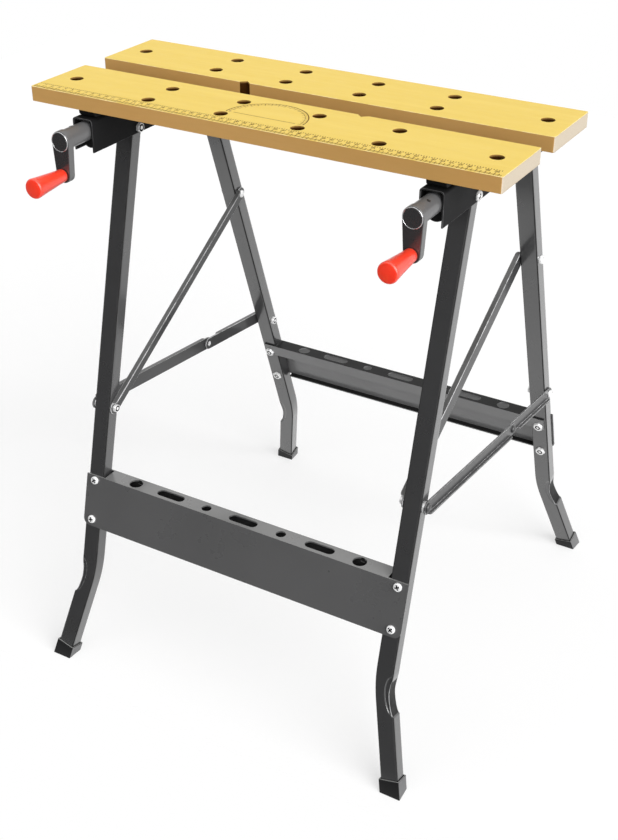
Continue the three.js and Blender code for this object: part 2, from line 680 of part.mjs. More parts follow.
// Turned fastener along +X with its grip from x = 0 to x = grip: domed head beyond the
// grip, nut below zero. A radius of 0 leaves that end flush.
function fastener(radius, grip, headRadius, nutRadius) {
  const profile = [];
  if (nutRadius > 0) {
    profile.push([0, -BOLT_NUT_HEIGHT], [nutRadius, -BOLT_NUT_HEIGHT], [nutRadius, 0]);
  } else {
    profile.push([0, 0]);
  }
  profile.push([radius, 0], [radius, grip]);
  if (headRadius > 0) {
    const crown = grip + BOLT_HEAD_HEIGHT;
    profile.push([headRadius, grip], [headRadius, grip + HEAD_RIM_SHARE * BOLT_HEAD_HEIGHT]);
    profile.push([HEAD_CROWN_SHARE * headRadius, crown], [0, crown]);
  } else {
    profile.push([0, grip]);
  }
  return turnedX(profile);
}

// Screw through plate and leg, head on the plate side of its leg frame
function sheetScrew(frame, side, drop, headFace, nutFace) {
  const screw = fastener(SHEET_SCREW_RADIUS, headFace + nutFace, BOLT_HEAD_RADIUS, BOLT_NUT_RADIUS);
  screw.translate(-nutFace, 0, 0).rotateZ(side * Math.PI / 2);
  return screw.translate(LEG_X, 0, -drop).applyMatrix4(frame);
}

// Angle-section link along +Y: web from x = 0 to the sheet thickness with round ends,
// flange on its lower edge towards +x.
function angleLink(length, width, flange, trims, bores) {
  const r = width / 2;
  const shape = roundEnded(length, width);
  for (const [y, radius] of bores) {
    const hole = new THREE.Path();
    hole.absarc(y, 0, radius, 0, 2 * Math.PI, true);
    shape.holes.push(hole);
  }
  const web = slabX(shape, 0, LINK_SHEET);
  const root = LINK_SHEET / 2;
  const y0 = trims[0];
  const y1 = length - trims[1];
  const round = flange - LINK_SHEET;
  const strip = new THREE.Shape();
  strip.moveTo(root, y0);
  strip.lineTo(LINK_SHEET, y0);
  strip.quadraticCurveTo(flange, y0, flange, y0 + round);
  strip.lineTo(flange, y1 - round);
  strip.quadraticCurveTo(flange, y1, LINK_SHEET, y1);
  strip.lineTo(root, y1);
  const fold = new THREE.ExtrudeGeometry(strip, { depth: LINK_SHEET, bevelEnabled: false, curveSegments: 4 });
  return fuse(web, fold.translate(0, 0, -r));
}

// Lays a link from one pivot towards another with its web at x; a turned link has its
// flange on the upper edge towards -x.
function layLink(link, from, to, x, turned) {
  const span = to.clone().sub(from);
  if (turned) {
    link.rotateY(Math.PI);
  }
  link.rotateX(Math.atan2(span.z, span.y)).translate(x, from.y, from.z);
}

const group = new THREE.Group();
group.name = 'folding_workbench';

function add(name, geometry, finish, mirrored = false) {
  const mesh = new THREE.Mesh(geometry, new THREE.MeshStandardMaterial(finish));
  mesh.name = name;
  mesh.scale.x = mirrored ? -1 : 1;
  group.add(mesh);
}

function addPair(name, geometry, finish) {
  add(`right_${name}`, geometry, finish);
  add(`left_${name}`, geometry.clone(), finish, true);
}

const BOARD = { color: 0xe6c766, metalness: 0, roughness: 0.55 };
const GREY_PAINT = { color: 0x6e6f70, metalness: 0.4, roughness: 0.45 };
const BLACK_PAINT = { color: 0x202122, metalness: 0.3, roughness: 0.45 };
const SHEET_PAINT = { color: 0x5a5b5c, metalness: 0.4, roughness: 0.45 };
const ZINC = { color: 0xc9cbcc, metalness: 0.9, roughness: 0.3 };
const GREY_PLASTIC = { color: 0x8d8f90, metalness: 0, roughness: 0.45 };
const BLACK_PLASTIC = { color: 0x18191a, metalness: 0, roughness: 0.55 };
const RED_PLASTIC = { color: 0xe0341c, metalness: 0, roughness: 0.35 };

add('front_jaw_board', board().translate(0, FRONT_BOARD_Y, 0), BOARD);
add('rear_jaw_board', board().rotateZ(Math.PI).translate(0, REAR_BOARD_Y, 0), BOARD);

addPair('rail', rail(), BLACK_PAINT);
addPair('front_bracket', frontBracket(), BLACK_PAINT);
addPair('jaw_carriage', carriage(), BLACK_PLASTIC);
addPair('lead_screw', leadScrew(), ZINC);
addPair('screw_bush', screwBush(), BLACK_PLASTIC);
addPair('crank', crank(), GREY_PLASTIC);
addPair('crank_knob', knob(), RED_PLASTIC);

// Leg frames with their caps, tool rails and screws
const pivotBore = PIVOT_BOLT_RADIUS + BORE_FIT;
const linkBore = LINK_BOLT_RADIUS + BORE_FIT;
const legFrames = [
  { name: 'front', frame: frontFrame, lean: FRONT_LEAN, side: -1, linkDrops: [FRONT_LINK_DROP] },
  { name: 'rear', frame: rearFrame, lean: REAR_LEAN, side: 1, linkDrops: [DIAGONAL_DROP, REAR_STAY_DROP] },
];
for (const { name, frame, lean, side, linkDrops } of legFrames) {
  const length = PIVOT_HEIGHT / Math.cos(lean);
  const { body, drop } = toolRail(frame, lean, side);
  const upper = drop + UPPER_SCREW_DROP;
  const lower = drop + LOWER_SCREW_DROP;
  const bores = [{ drop: 0, radius: pivotBore }];
  linkDrops.forEach((linkDrop) => bores.push({ drop: linkDrop, radius: linkBore }));
  const legBody = leg(length, bores, [upper, lower]).translate(LEG_X, 0, 0).applyMatrix4(frame);
  addPair(`${name}_leg`, legBody, GREY_PAINT);
  addPair(`${name}_foot`, footCap(frame, length), BLACK_PLASTIC);
  add(`${name}_tool_rail`, body, SHEET_PAINT);
  const legFace = LEG_DEPTH / 2 + WASHER_FIT;
  const sheetFace = LEG_DEPTH / 2 + SHEET_FIT + SHEET + WASHER_FIT;
  addPair(`${name}_upper_screw`, sheetScrew(frame, side, upper, sheetFace, sheetFace), ZINC);
  addPair(`${name}_lower_screw`, sheetScrew(frame, side, lower, sheetFace, legFace), ZINC);
}

// Leg pivots through both rail walls
const railFace = RAIL_WIDTH / 2 + WASHER_FIT;
for (const [name, y] of [['front', FRONT_PIVOT_Y], ['rear', REAR_PIVOT_Y]]) {
  const bolt = fastener(PIVOT_BOLT_RADIUS, 2 * railFace, BOLT_HEAD_RADIUS, BOLT_NUT_RADIUS);
  addPair(`${name}_pivot_bolt`, bolt.translate(LEG_X - railFace, y, PIVOT_HEIGHT), ZINC);
}

// Layers of the linkage across a leg, counted on the right side
const diagonalFace = LEG_INNER - LINK_GAP;
const diagonalBack = diagonalFace - LINK_SHEET;
const rearStayFace = LEG_OUTER + LINK_GAP;
const frontStayFace = rearStayFace + LINK_SHEET + LINK_GAP;
const frontStayOuter = frontStayFace + LINK_SHEET;

const diagonal = angleLink(
  DIAGONAL_TOP.distanceTo(FRONT_LINK), DIAGONAL_WIDTH, DIAGONAL_FLANGE, [DIAGONAL_TRIM, DIAGONAL_TRIM],
  [[0, linkBore], [DIAGONAL_TOP.distanceTo(FRONT_LINK), linkBore]],
);
layLink(diagonal, FRONT_LINK, DIAGONAL_TOP, diagonalFace, true);
addPair('diagonal', diagonal, SHEET_PAINT);

// One stay shape serves both hands: on the left it is turned half round.
for (const hand of ['right', 'left']) {
  const out = hand === 'right' ? 1 : -1;
  const frontStay = angleLink(
    RIVET.distanceTo(FRONT_LINK), STAY_WIDTH, STAY_FLANGE, [STAY_END_TRIM, FRONT_RIVET_TRIM],
    [[0, linkBore], [RIVET.distanceTo(FRONT_LINK), RIVET_RADIUS + BORE_FIT]],
  );
  const rearStay = angleLink(
    REAR_STAY.distanceTo(RIVET), STAY_WIDTH, STAY_FLANGE, [REAR_RIVET_TRIM, STAY_END_TRIM],
    [[0, RIVET_RADIUS + BORE_FIT], [REAR_STAY.distanceTo(RIVET), linkBore]],
  );
  const turned = out < 0;
  layLink(frontStay, FRONT_LINK, RIVET, out * frontStayFace, turned);
  layLink(rearStay, RIVET, REAR_STAY, out * rearStayFace, turned);
  add(`${hand}_front_stay`, frontStay, SHEET_PAINT);
  add(`${hand}_rear_stay`, rearStay, SHEET_PAINT);
}

// Common bolt of stay and diagonal through the front leg, with a shoulder as spacer
const commonStart = diagonalBack - WASHER_FIT;
const commonBolt = fuse(
  fastener(LINK_BOLT_RADIUS, frontStayOuter + WASHER_FIT - commonStart, BOLT_HEAD_RADIUS, BOLT_NUT_RADIUS)
    .translate(commonStart, FRONT_LINK.y, FRONT_LINK.z),
  rodX(SPACER_RADIUS, LEG_OUTER + WASHER_FIT, frontStayFace - WASHER_FIT, FRONT_LINK.y, FRONT_LINK.z, SMALL),
);
addPair('front_link_bolt', commonBolt, ZINC);

// Rivet of the two stay links, flush where it passes the rear leg
const rivetGrip = frontStayOuter + WASHER_FIT - rearStayFace;
const rivet = fastener(RIVET_RADIUS, rivetGrip, RIVET_HEAD_RADIUS, 0);
addPair('stay_rivet', rivet.translate(rearStayFace, RIVET.y, RIVET.z), ZINC);

// Rear pivots of diagonal and stay: the leg holds a nut with a stub, the link a head
const stub = fastener(LINK_BOLT_RADIUS, LEG_WIDTH + WASHER_FIT, 0, BOLT_NUT_RADIUS);
const stayNut = stub.clone().translate(LEG_INNER - WASHER_FIT, REAR_STAY.y, REAR_STAY.z);
addPair('stay_rear_nut', stayNut, ZINC);
const diagonalNut = stub.rotateY(Math.PI).translate(LEG_OUTER + WASHER_FIT, DIAGONAL_TOP.y, DIAGONAL_TOP.z);
addPair('diagonal_nut', diagonalNut, ZINC);
const linkHead = fastener(LINK_BOLT_RADIUS, LINK_SHEET + WASHER_FIT, BOLT_HEAD_RADIUS, 0);
addPair('stay_rear_bolt', linkHead.clone().translate(rearStayFace, REAR_STAY.y, REAR_STAY.z), ZINC);
linkHead.rotateY(Math.PI).translate(diagonalFace, DIAGONAL_TOP.y, DIAGONAL_TOP.z);
addPair('diagonal_bolt', linkHead, ZINC);

export default group;
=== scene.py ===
"""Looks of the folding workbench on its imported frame. Metres, +Z up, -Y is the crank side."""
import json
import math

import bmesh
import bpy
from mathutils import Matrix, Vector

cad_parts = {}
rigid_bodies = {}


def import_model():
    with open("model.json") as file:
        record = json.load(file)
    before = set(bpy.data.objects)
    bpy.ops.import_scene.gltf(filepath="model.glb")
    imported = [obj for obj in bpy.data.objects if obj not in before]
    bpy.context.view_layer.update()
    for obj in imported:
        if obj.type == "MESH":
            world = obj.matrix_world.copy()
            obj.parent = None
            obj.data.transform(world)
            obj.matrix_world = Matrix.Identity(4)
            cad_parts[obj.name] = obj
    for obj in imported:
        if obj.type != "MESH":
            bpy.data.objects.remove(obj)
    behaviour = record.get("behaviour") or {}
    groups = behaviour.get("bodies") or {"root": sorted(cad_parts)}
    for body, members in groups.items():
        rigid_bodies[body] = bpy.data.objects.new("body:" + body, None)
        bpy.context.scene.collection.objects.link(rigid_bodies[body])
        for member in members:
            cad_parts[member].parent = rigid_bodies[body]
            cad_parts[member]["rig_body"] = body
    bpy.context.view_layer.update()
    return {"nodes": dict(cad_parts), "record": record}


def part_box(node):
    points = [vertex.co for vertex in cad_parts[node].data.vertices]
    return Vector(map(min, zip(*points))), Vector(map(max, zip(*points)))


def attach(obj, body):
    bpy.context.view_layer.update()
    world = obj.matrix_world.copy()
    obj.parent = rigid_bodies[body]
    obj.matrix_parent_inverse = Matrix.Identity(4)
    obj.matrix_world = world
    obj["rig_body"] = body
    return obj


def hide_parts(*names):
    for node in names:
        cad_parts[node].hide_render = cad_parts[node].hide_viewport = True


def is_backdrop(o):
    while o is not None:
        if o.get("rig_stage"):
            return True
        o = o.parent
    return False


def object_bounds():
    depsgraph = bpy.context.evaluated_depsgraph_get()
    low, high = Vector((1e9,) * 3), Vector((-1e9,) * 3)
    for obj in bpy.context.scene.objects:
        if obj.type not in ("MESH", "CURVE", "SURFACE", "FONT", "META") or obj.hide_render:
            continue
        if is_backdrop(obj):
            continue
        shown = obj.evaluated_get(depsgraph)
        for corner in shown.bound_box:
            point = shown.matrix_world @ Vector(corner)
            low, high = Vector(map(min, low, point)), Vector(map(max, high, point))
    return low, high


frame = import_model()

MM = 0.001
NODES = frame["nodes"]
SLOT_OF = {p["node"]: p["material_slot"] for p in frame["record"]["subparts"]}


def span(node, axis):
    """Lowest and highest coordinate of a node along one axis."""
    low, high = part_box(node)
    return low[axis], high[axis]


def middle(node, axis):
    return sum(span(node, axis)) / 2


# Sizes and places read from the frame
LEG_X = middle("right_rail", 0)
LEG_INNER = span("right_front_leg", 0)[0]
LEG_W = 2 * (LEG_X - LEG_INNER)
LEG_D = 18.5 * MM
SHEET = 2 * MM
FRONT_PIVOT = Vector((0, middle("right_front_pivot_bolt", 1), middle("right_front_pivot_bolt", 2)))
REAR_PIVOT = Vector((0, middle("right_rear_pivot_bolt", 1), middle("right_rear_pivot_bolt", 2)))
HALF_DEPTH = span("right_rear_foot", 1)[1]
CAP_WALL = 2 * MM


def lean_of(run):
    """Lean of a leg whose cap reaches the floor this far out from its pivot."""
    reach = LEG_D / 2 + CAP_WALL
    return math.acos(reach / math.hypot(run, FRONT_PIVOT.z)) - math.atan2(FRONT_PIVOT.z, run)


FRONT_LEAN = lean_of(HALF_DEPTH + FRONT_PIVOT.y)
REAR_LEAN = lean_of(HALF_DEPTH - REAR_PIVOT.y)
FRONT_FRAME = Matrix.Translation(FRONT_PIVOT) @ Matrix.Rotation(-FRONT_LEAN, 4, "X")
REAR_FRAME = Matrix.Translation(REAR_PIVOT) @ Matrix.Rotation(REAR_LEAN, 4, "X")
HANDS = {"right": Matrix.Identity(4), "left": Matrix.Diagonal((-1, 1, 1, 1))}
LEG_FRAMES = {"front": (FRONT_FRAME, FRONT_LEAN, -1), "rear": (REAR_FRAME, REAR_LEAN, 1)}


# Material helpers
def new_material(name):
    """Material, its node tree, its shader and the object's own coordinates."""
    mat = bpy.data.materials.new(name)
    mat.use_nodes = True
    nt = mat.node_tree
    return mat, nt, nt.nodes["Principled BSDF"], object_coords(nt)


def feed(nt, node, inputs):
    """Links outputs of other nodes to a node's inputs, or sets plain values there; colours get alpha 1."""
    for key, value in inputs.items():
        socket = node.inputs[key]
        if isinstance(value, bpy.types.NodeSocket):
            nt.links.new(value, socket)
        elif socket.type == "RGBA":
            socket.default_value = (*value, 1)
        else:
            socket.default_value = value


def make(nt, kind, inputs=None, **settings):
    node = nt.nodes.new(kind)
    for key, value in settings.items():
        setattr(node, key, value)
    feed(nt, node, inputs or {})
    return node


def object_coords(nt):
    return make(nt, "ShaderNodeTexCoord").outputs["Object"]


def noise(nt, coords, scale, detail=3.0, rough=0.55, stretch=(1, 1, 1)):
    mapped = make(nt, "ShaderNodeMapping", {"Vector": coords, "Scale": stretch}).outputs[0]
    inputs = {"Vector": mapped, "Scale": scale, "Detail": detail, "Roughness": rough}
    return make(nt, "ShaderNodeTexNoise", inputs).outputs[0]


def spread(nt, value, low, high, from_low=0.3, from_high=0.7):
    inputs = {"Value": value, "From Min": from_low, "From Max": from_high, "To Min": low, "To Max": high}
    return make(nt, "ShaderNodeMapRange", inputs).outputs[0]


def calc(nt, operation, *values):
    return make(nt, "ShaderNodeMath", dict(enumerate(values)), operation=operation).outputs[0]


def blend(nt, factor, a, b):
    """Colour from a to b; inputs 6 and 7 and output 2 are the mix node's colour sockets."""
    return make(nt, "ShaderNodeMix", {"Factor": factor, 6: a, 7: b}, data_type="RGBA").outputs[2]


def bump(nt, bsdf, height, strength, distance):
    b = make(nt, "ShaderNodeBump", {"Height": height, "Strength": strength, "Distance": distance})
    nt.links.new(b.outputs[0], bsdf.inputs["Normal"])


def axis_of(nt, vector, name):
    return make(nt, "ShaderNodeSeparateXYZ", {0: vector}).outputs[name]


def shade(color, factor):
    return tuple(min(1.0, c * factor) for c in color)


# Materials
# Dusty grey of specks and settled dust; on level faces it is also laid on as painted light.
DUST_AND_TOP_LIGHT = (0.45, 0.45, 0.44)


def level_faces(nt, amount):
    """amount on faces that look straight up, 0 on upright ones."""
    normal = make(nt, "ShaderNodeNewGeometry").outputs["Normal"]
    return spread(nt, axis_of(nt, normal, "Z"), 0.0, amount, from_low=0.4, from_high=0.9)


PAINT_COAT_ROUGH, MOULDED_COAT_ROUGH = 0.12, 0.45
GLOW_RADIUS = (1.0, 0.2, 0.1)
GLOW_DEPTH = 12 * MM


def paint(name, base, rough, specular=0.5, coat=0.0, settled_dust_and_light=0.0):
    """Sprayed coat: orange peel, cloudy tone and gloss, a slight dusty tone on level faces, which there also
    stands for painted light.
    """
    mat, nt, bsdf, co = new_material(name)
    cloud = noise(nt, co, scale=9, detail=4)
    specks = noise(nt, co, scale=260, detail=5, rough=0.7)
    gloss = noise(nt, co, scale=30, detail=4)
    peel = noise(nt, co, scale=750, detail=2, rough=0.5)
    tone = blend(nt, spread(nt, cloud, 0.0, 1.0), shade(base, 0.94), shade(base, 1.06))
    tone = blend(nt, spread(nt, specks, 0.0, 0.01, from_low=0.56, from_high=0.75), tone, DUST_AND_TOP_LIGHT)
    feed(nt, bsdf, {
        "Base Color": blend(nt, level_faces(nt, settled_dust_and_light), tone, DUST_AND_TOP_LIGHT),
        "Roughness": spread(nt, gloss, rough - 0.02, rough + 0.04),
        "Specular IOR Level": specular, "Coat Weight": coat, "Coat Roughness": PAINT_COAT_ROUGH,
    })
    bump(nt, bsdf, peel, strength=0.10, distance=0.05 * MM)
    return mat


def wear_and_painted_light(name, base, worn, rough):
    """Two tones in patches, the second showing through the first: wear on the board film's rim, painted shade
    and painted highlight on edges, in the legs' dent and inside the tool rails.
    """
    mat, nt, bsdf, co = new_material(name)
    patches = noise(nt, co, scale=70, detail=4)
    gloss = noise(nt, co, scale=120, detail=4)
    grain = noise(nt, co, scale=900, detail=3, rough=0.6)
    showing = spread(nt, patches, 0.0, 1.0, from_low=0.35, from_high=0.6)
    feed(nt, bsdf, {
        "Base Color": blend(nt, showing, base, worn),
        "Roughness": spread(nt, gloss, rough - 0.06, rough + 0.1),
        "Specular IOR Level": 0.15,
    })
    bump(nt, bsdf, grain, strength=0.3, distance=0.08 * MM)
    return mat


def moulded(name, base, rough, grain=900, depth=0.1 * MM, strength=0.3, variation=0.12, specular=0.5,
            glow=0.0, dust_and_rim_light=0.0, coat=0.0):
    """Moulded plastic or rubber: fine skin grain, slight colour and gloss variation."""
    mat, nt, bsdf, co = new_material(name)
    cloud = noise(nt, co, scale=25, detail=4)
    gloss = noise(nt, co, scale=60, detail=5)
    skin_grain = noise(nt, co, grain, detail=3, rough=0.6)
    tone = blend(nt, spread(nt, cloud, 0.0, 1.0), shade(base, 1 - variation), shade(base, 1 + variation))
    feed(nt, bsdf, {
        "Base Color": blend(nt, level_faces(nt, dust_and_rim_light), tone, DUST_AND_TOP_LIGHT),
        "Roughness": spread(nt, gloss, rough - 0.06, rough + 0.08),
        "Specular IOR Level": specular, "Coat Weight": coat, "Coat Roughness": MOULDED_COAT_ROUGH,
        "Subsurface Weight": glow, "Subsurface Radius": GLOW_RADIUS, "Subsurface Scale": GLOW_DEPTH,
    })
    bump(nt, bsdf, skin_grain, strength, depth)
    return mat


def plated(name, base, rough, metallic=1.0):
    """Bright plate: mottled tone, fine turning marks."""
    mat, nt, bsdf, co = new_material(name)
    mottled = noise(nt, co, scale=160, detail=5, rough=0.7)
    marks = noise(nt, co, scale=1500, detail=2, rough=0.5)
    feed(nt, bsdf, {
        "Base Color": blend(nt, spread(nt, mottled, 0.0, 1.0), shade(base, 0.86), shade(base, 1.08)),
        "Metallic": metallic,
        "Roughness": spread(nt, mottled, rough - 0.06, rough + 0.12),
    })
    bump(nt, bsdf, marks, strength=0.2, distance=0.03 * MM)
    return mat


def board_film(name, dark, light, fibre_tone, scuff_tone):
    """Printed film on the board: faint streaks along it, fine speckle, satin gloss, light scuffs."""
    mat, nt, bsdf, co = new_material(name)
    streak = noise(nt, co, scale=14, detail=5, rough=0.6, stretch=(0.25, 4.0, 1.0))
    fibre = noise(nt, co, scale=240, detail=3, rough=0.6, stretch=(0.12, 1.0, 1.0))
    scuff = noise(nt, co, scale=55, detail=6, rough=0.75, stretch=(1.0, 2.4, 1.0))
    tone = blend(nt, spread(nt, streak, 0.0, 1.0), dark, light)
    tone = blend(nt, spread(nt, fibre, 0.0, 0.20, from_low=0.45, from_high=0.8), tone, fibre_tone)
    tone = blend(nt, spread(nt, scuff, 0.0, 0.16, from_low=0.6, from_high=0.8), tone, scuff_tone)
    gloss = spread(nt, scuff, 0.42, 0.58)
    feed(nt, bsdf, {"Base Color": tone, "Roughness": gloss, "Specular IOR Level": 0.3})
    bump(nt, bsdf, fibre, strength=0.12, distance=0.12 * MM)
    return mat


SKIN_START, SKIN_FULL = 6.2 * MM, 8.8 * MM
BORE_SHADE_START, BORE_SHADE_FULL = 0.2 * MM, 2.6 * MM


def raw_board(name, dark, light, skin_tone, specular=0.2, bore_shade=None):
    """Cut pressed board: loose fibre in the middle, denser skin near both faces.

    bore_shade is its tone a little way below the top face, where the board is a bore: painted shade deeper in
    the bore.
    """
    mat, nt, bsdf, co = new_material(name)
    fibre = noise(nt, co, scale=420, detail=5, rough=0.7, stretch=(1.0, 1.0, 2.2))
    cloud = noise(nt, co, scale=60, detail=3)
    z = axis_of(nt, co, "Z")
    away = calc(nt, "ABSOLUTE", calc(nt, "SUBTRACT", z, middle("front_jaw_board", 2)))
    tone = blend(nt, spread(nt, fibre, 0.0, 1.0), dark, light)
    tone = blend(nt, spread(nt, cloud, 0.0, 0.3), tone, shade(dark, 1.1))
    tone = blend(nt, spread(nt, away, 0.0, 0.55, SKIN_START, SKIN_FULL), tone, skin_tone)
    if bore_shade:
        depth = calc(nt, "SUBTRACT", span("front_jaw_board", 2)[1], z)
        tone = blend(nt, spread(nt, depth, 0.0, 1.0, BORE_SHADE_START, BORE_SHADE_FULL), tone, bore_shade)
    feed(nt, bsdf, {"Base Color": tone, "Roughness": 0.85, "Specular IOR Level": specular})
    bump(nt, bsdf, fibre, strength=0.5, distance=0.2 * MM)
    return mat


def ink(full, thin):
    """Printed marks, worn thin in places."""
    mat, nt, bsdf, co = new_material("print_ink")
    worn = spread(nt, noise(nt, co, scale=120, detail=4, rough=0.7), 0.0, 1.0)
    feed(nt, bsdf, {"Base Color": blend(nt, worn, full, thin), "Roughness": 0.6, "Specular IOR Level": 0.1})
    return mat


FILM = board_film("board_film", dark=(0.84, 0.605, 0.115), light=(0.875, 0.645, 0.14),
                  fibre_tone=(0.77, 0.52, 0.09), scuff_tone=(0.90, 0.75, 0.32))
# Painted shade: the board's front and rear edges are the top film at a darker tone.
SHADED_BOARD_EDGE = board_film("board_edge_painted_shade", dark=(0.48, 0.27, 0.080), light=(0.53, 0.305, 0.10),
                  fibre_tone=(0.43, 0.235, 0.065), scuff_tone=(0.56, 0.36, 0.16))
FILM_RIM = wear_and_painted_light("film_rim", (0.86, 0.64, 0.15), (0.92, 0.78, 0.40), 0.5)
RAW = raw_board("board_raw", dark=(0.56, 0.48, 0.37), light=(0.66, 0.58, 0.47), skin_tone=(0.52, 0.43, 0.31))
# Bore and notch walls: darker than the cut ends, partly the cut core's colour and partly painted shade;
# near-black painted shade deeper down.
BORE_WALL_AND_SHADE = raw_board("board_bore_painted_shade", dark=(0.34, 0.19, 0.055), light=(0.44, 0.26, 0.09),
                 skin_tone=(0.34, 0.19, 0.055), specular=0.03, bore_shade=(0.04, 0.014, 0.002))
INK = ink(full=(0.075, 0.024, 0.002), thin=(0.17, 0.065, 0.006))
LEG_PAINT = paint("leg_paint", (0.034, 0.034, 0.035), 0.28, specular=0.7, coat=1.0)
# Level faces take a dusty tone that is partly dust and partly painted light on the flange tops.
SHEET_PAINT = paint("sheet_paint", (0.085, 0.085, 0.086), 0.28, coat=1.0, settled_dust_and_light=0.25)
# Painted light: the same sheet paint as the front rail, made lighter.
LIT_REAR_SHEET_PAINT = paint("sheet_paint_rear_painted_light", (0.172, 0.172, 0.173), 0.34, specular=0.4, coat=0.6)
# Painted shade: near-black on the rear tool rail's up-facing flange.
REAR_FLANGE_SHADE = paint("sheet_paint_rear_flange_painted_shade", (0.016, 0.016, 0.016), 0.5, specular=0.12)
LINK_PAINT = paint("link_paint", (0.034, 0.034, 0.035), 0.34, specular=0.4, coat=0.3, settled_dust_and_light=0.12)
RAIL_PAINT = paint("rail_paint", (0.010, 0.010, 0.0105), 0.45, specular=0.04)
CRANK_PAINT = paint("crank_grey", (0.028, 0.028, 0.029), 0.26, coat=1.0)
# Painted light: a lighter copy of the crank paint on the hub and on the arm's sides.
LIT_CRANK_GREY = paint("crank_grey_painted_light", (0.110, 0.110, 0.112), 0.34, coat=0.25)
# Painted shade: near-black tone on the legs' rounded edges, in their dent and on the tool rails' bent edges.
EDGE_AND_DENT_SHADE = wear_and_painted_light("edge_and_dent_painted_shade", (0.010, 0.010, 0.010), (0.022, 0.022, 0.022), 0.5)
# Painted highlight: a light line along the legs' edges where they run through the dent.
DENT_EDGE_HIGHLIGHT = wear_and_painted_light("edge_painted_highlight", (0.10, 0.10, 0.10), (0.32, 0.32, 0.325), 0.4)
# Painted highlight: a light tone on the rounded bends of the stays and diagonals.
LINK_EDGE_HIGHLIGHT = wear_and_painted_light("edge_link_painted_highlight", (0.20, 0.20, 0.20), (0.62, 0.62, 0.63), 0.4)
# Painted highlight: a slightly lighter tone on the black rails' rounded edges.
RAIL_EDGE_HIGHLIGHT = wear_and_painted_light("edge_rail_painted_highlight", (0.016, 0.016, 0.016), (0.085, 0.085, 0.087), 0.4)
# Painted shade: near-black on the underside of the tool rails' flange and the inner face of the lip.
CHANNEL_SHADE = wear_and_painted_light("tool_rail_painted_shade", (0.008, 0.008, 0.008), (0.015, 0.015, 0.015), 0.6)
# The caps' level tops take a light dusty tone: partly dust, partly a painted highlight along their rim.
RUBBER = moulded("foot_rubber", (0.008, 0.008, 0.0083), 0.42, specular=0.2, dust_and_rim_light=0.45)
# Painted light: a lighter copy of the foot rubber for the caps' sideways faces.
LIT_SIDE_RUBBER = moulded("foot_rubber_side_painted_light", (0.14, 0.14, 0.142), 0.42, specular=0.42)
BLACK_PLASTIC = moulded("black_plastic", (0.010, 0.010, 0.010), 0.5, specular=0.15)
GRIP_RED = moulded("grip_red", (1.0, 0.034, 0.004), 0.36, grain=500, strength=0.08, variation=0.05,
                   specular=1.0, glow=0.6, coat=0.4)
ZINC = plated("zinc", (0.93, 0.935, 0.94), 0.30, metallic=0.4)
BARE = plated("bare_steel", (0.72, 0.72, 0.73), 0.18)
# Painted shade: near-black in screw recesses, rivet hollows, the gaps round bolt ends and the spring pin's
# bore.
RECESS_SHADE = moulded("recess_painted_shade", (0.012, 0.012, 0.012), 0.6, specular=0.1)
MATERIALS = {
    "leg_paint": LEG_PAINT, "sheet_paint": SHEET_PAINT, "rail_paint": RAIL_PAINT, "crank_grey": CRANK_PAINT,
    "foot_rubber": RUBBER, "black_plastic": BLACK_PLASTIC, "grip_red": GRIP_RED, "zinc": ZINC,
}


# Mesh helpers
WELD = 0.002 * MM
FLAT_ANGLE = math.radians(0.5)
ROUND_ANGLE = math.radians(32)
ROUND_STEPS = 3
FACING, SIDEWAYS = 0.9, 0.7


def finish_mesh(bm, name, sharp=38.0):
    bmesh.ops.recalc_face_normals(bm, faces=bm.faces[:])
    mesh = bpy.data.meshes.new(name)
    bm.to_mesh(mesh)
    bm.free()
    mesh.polygons.foreach_set("use_smooth", [True] * len(mesh.polygons))
    mesh.set_sharp_from_angle(angle=math.radians(sharp))
    return mesh


def place(name, mesh, node, materials, replaces=True, weighted=True):
    """Puts a mesh in the scene as a piece that rides with a node's body and may stand for the node."""
    obj = bpy.data.objects.new(name, mesh)
    bpy.context.scene.collection.objects.link(obj)
    for mat in materials:
        mesh.materials.append(mat)
    if weighted:
        mod = obj.modifiers.new("even_shading", "WEIGHTED_NORMAL")
        mod.keep_sharp = True
    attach(obj, NODES[node]["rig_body"])
    if replaces:
        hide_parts(node)


def look(node, bm, materials, sharp=38.0, weighted=True):
    """Piece that stands for a node."""
    name = node + ".look"
    place(name, finish_mesh(bm, name, sharp), node, materials, weighted=weighted)


def dress(node, round_off, edge, paint_mat=None, finishes=(), trim=None):
    """The node's own shape, cut back by trim, its edges rounded with an edge finish.

    finishes pairs a material with the test for the flat faces that take it.
    """
    bm = bmesh.new()
    bm.from_mesh(NODES[node].data)
    bmesh.ops.remove_doubles(bm, verts=bm.verts[:], dist=WELD)
    bmesh.ops.dissolve_limit(bm, angle_limit=FLAT_ANGLE, verts=bm.verts[:], edges=bm.edges[:])
    if trim:
        for v in bm.verts:
            trim(v)
        bm.normal_update()
    edges = [e for e in bm.edges if len(e.link_faces) == 2 and e.calc_face_angle(0) > ROUND_ANGLE]
    bmesh.ops.bevel(bm, geom=edges, offset=round_off, offset_type="OFFSET", segments=ROUND_STEPS, profile=0.5,
                    affect="EDGES", clamp_overlap=True, material=1)
    materials = [paint_mat or MATERIALS[SLOT_OF[node]], edge]
    bm.normal_update()
    for material, takes in finishes:
        materials.append(material)
        for f in bm.faces:
            if f.material_index == 0 and takes(f):
                f.material_index = len(materials) - 1
    look(node, bm, materials)


def faces_up(face):
    return face.normal.z > FACING


def faces_sideways(face):
    return abs(face.normal.x) > SIDEWAYS


def skin(bm, rows):
    """Quads between rows of equally many vertices, closed round each row."""
    n = len(rows[0])
    for a, b in zip(rows, rows[1:]):
        for k in range(n):
            bm.faces.new((a[k], a[(k + 1) % n], b[(k + 1) % n], b[k]))


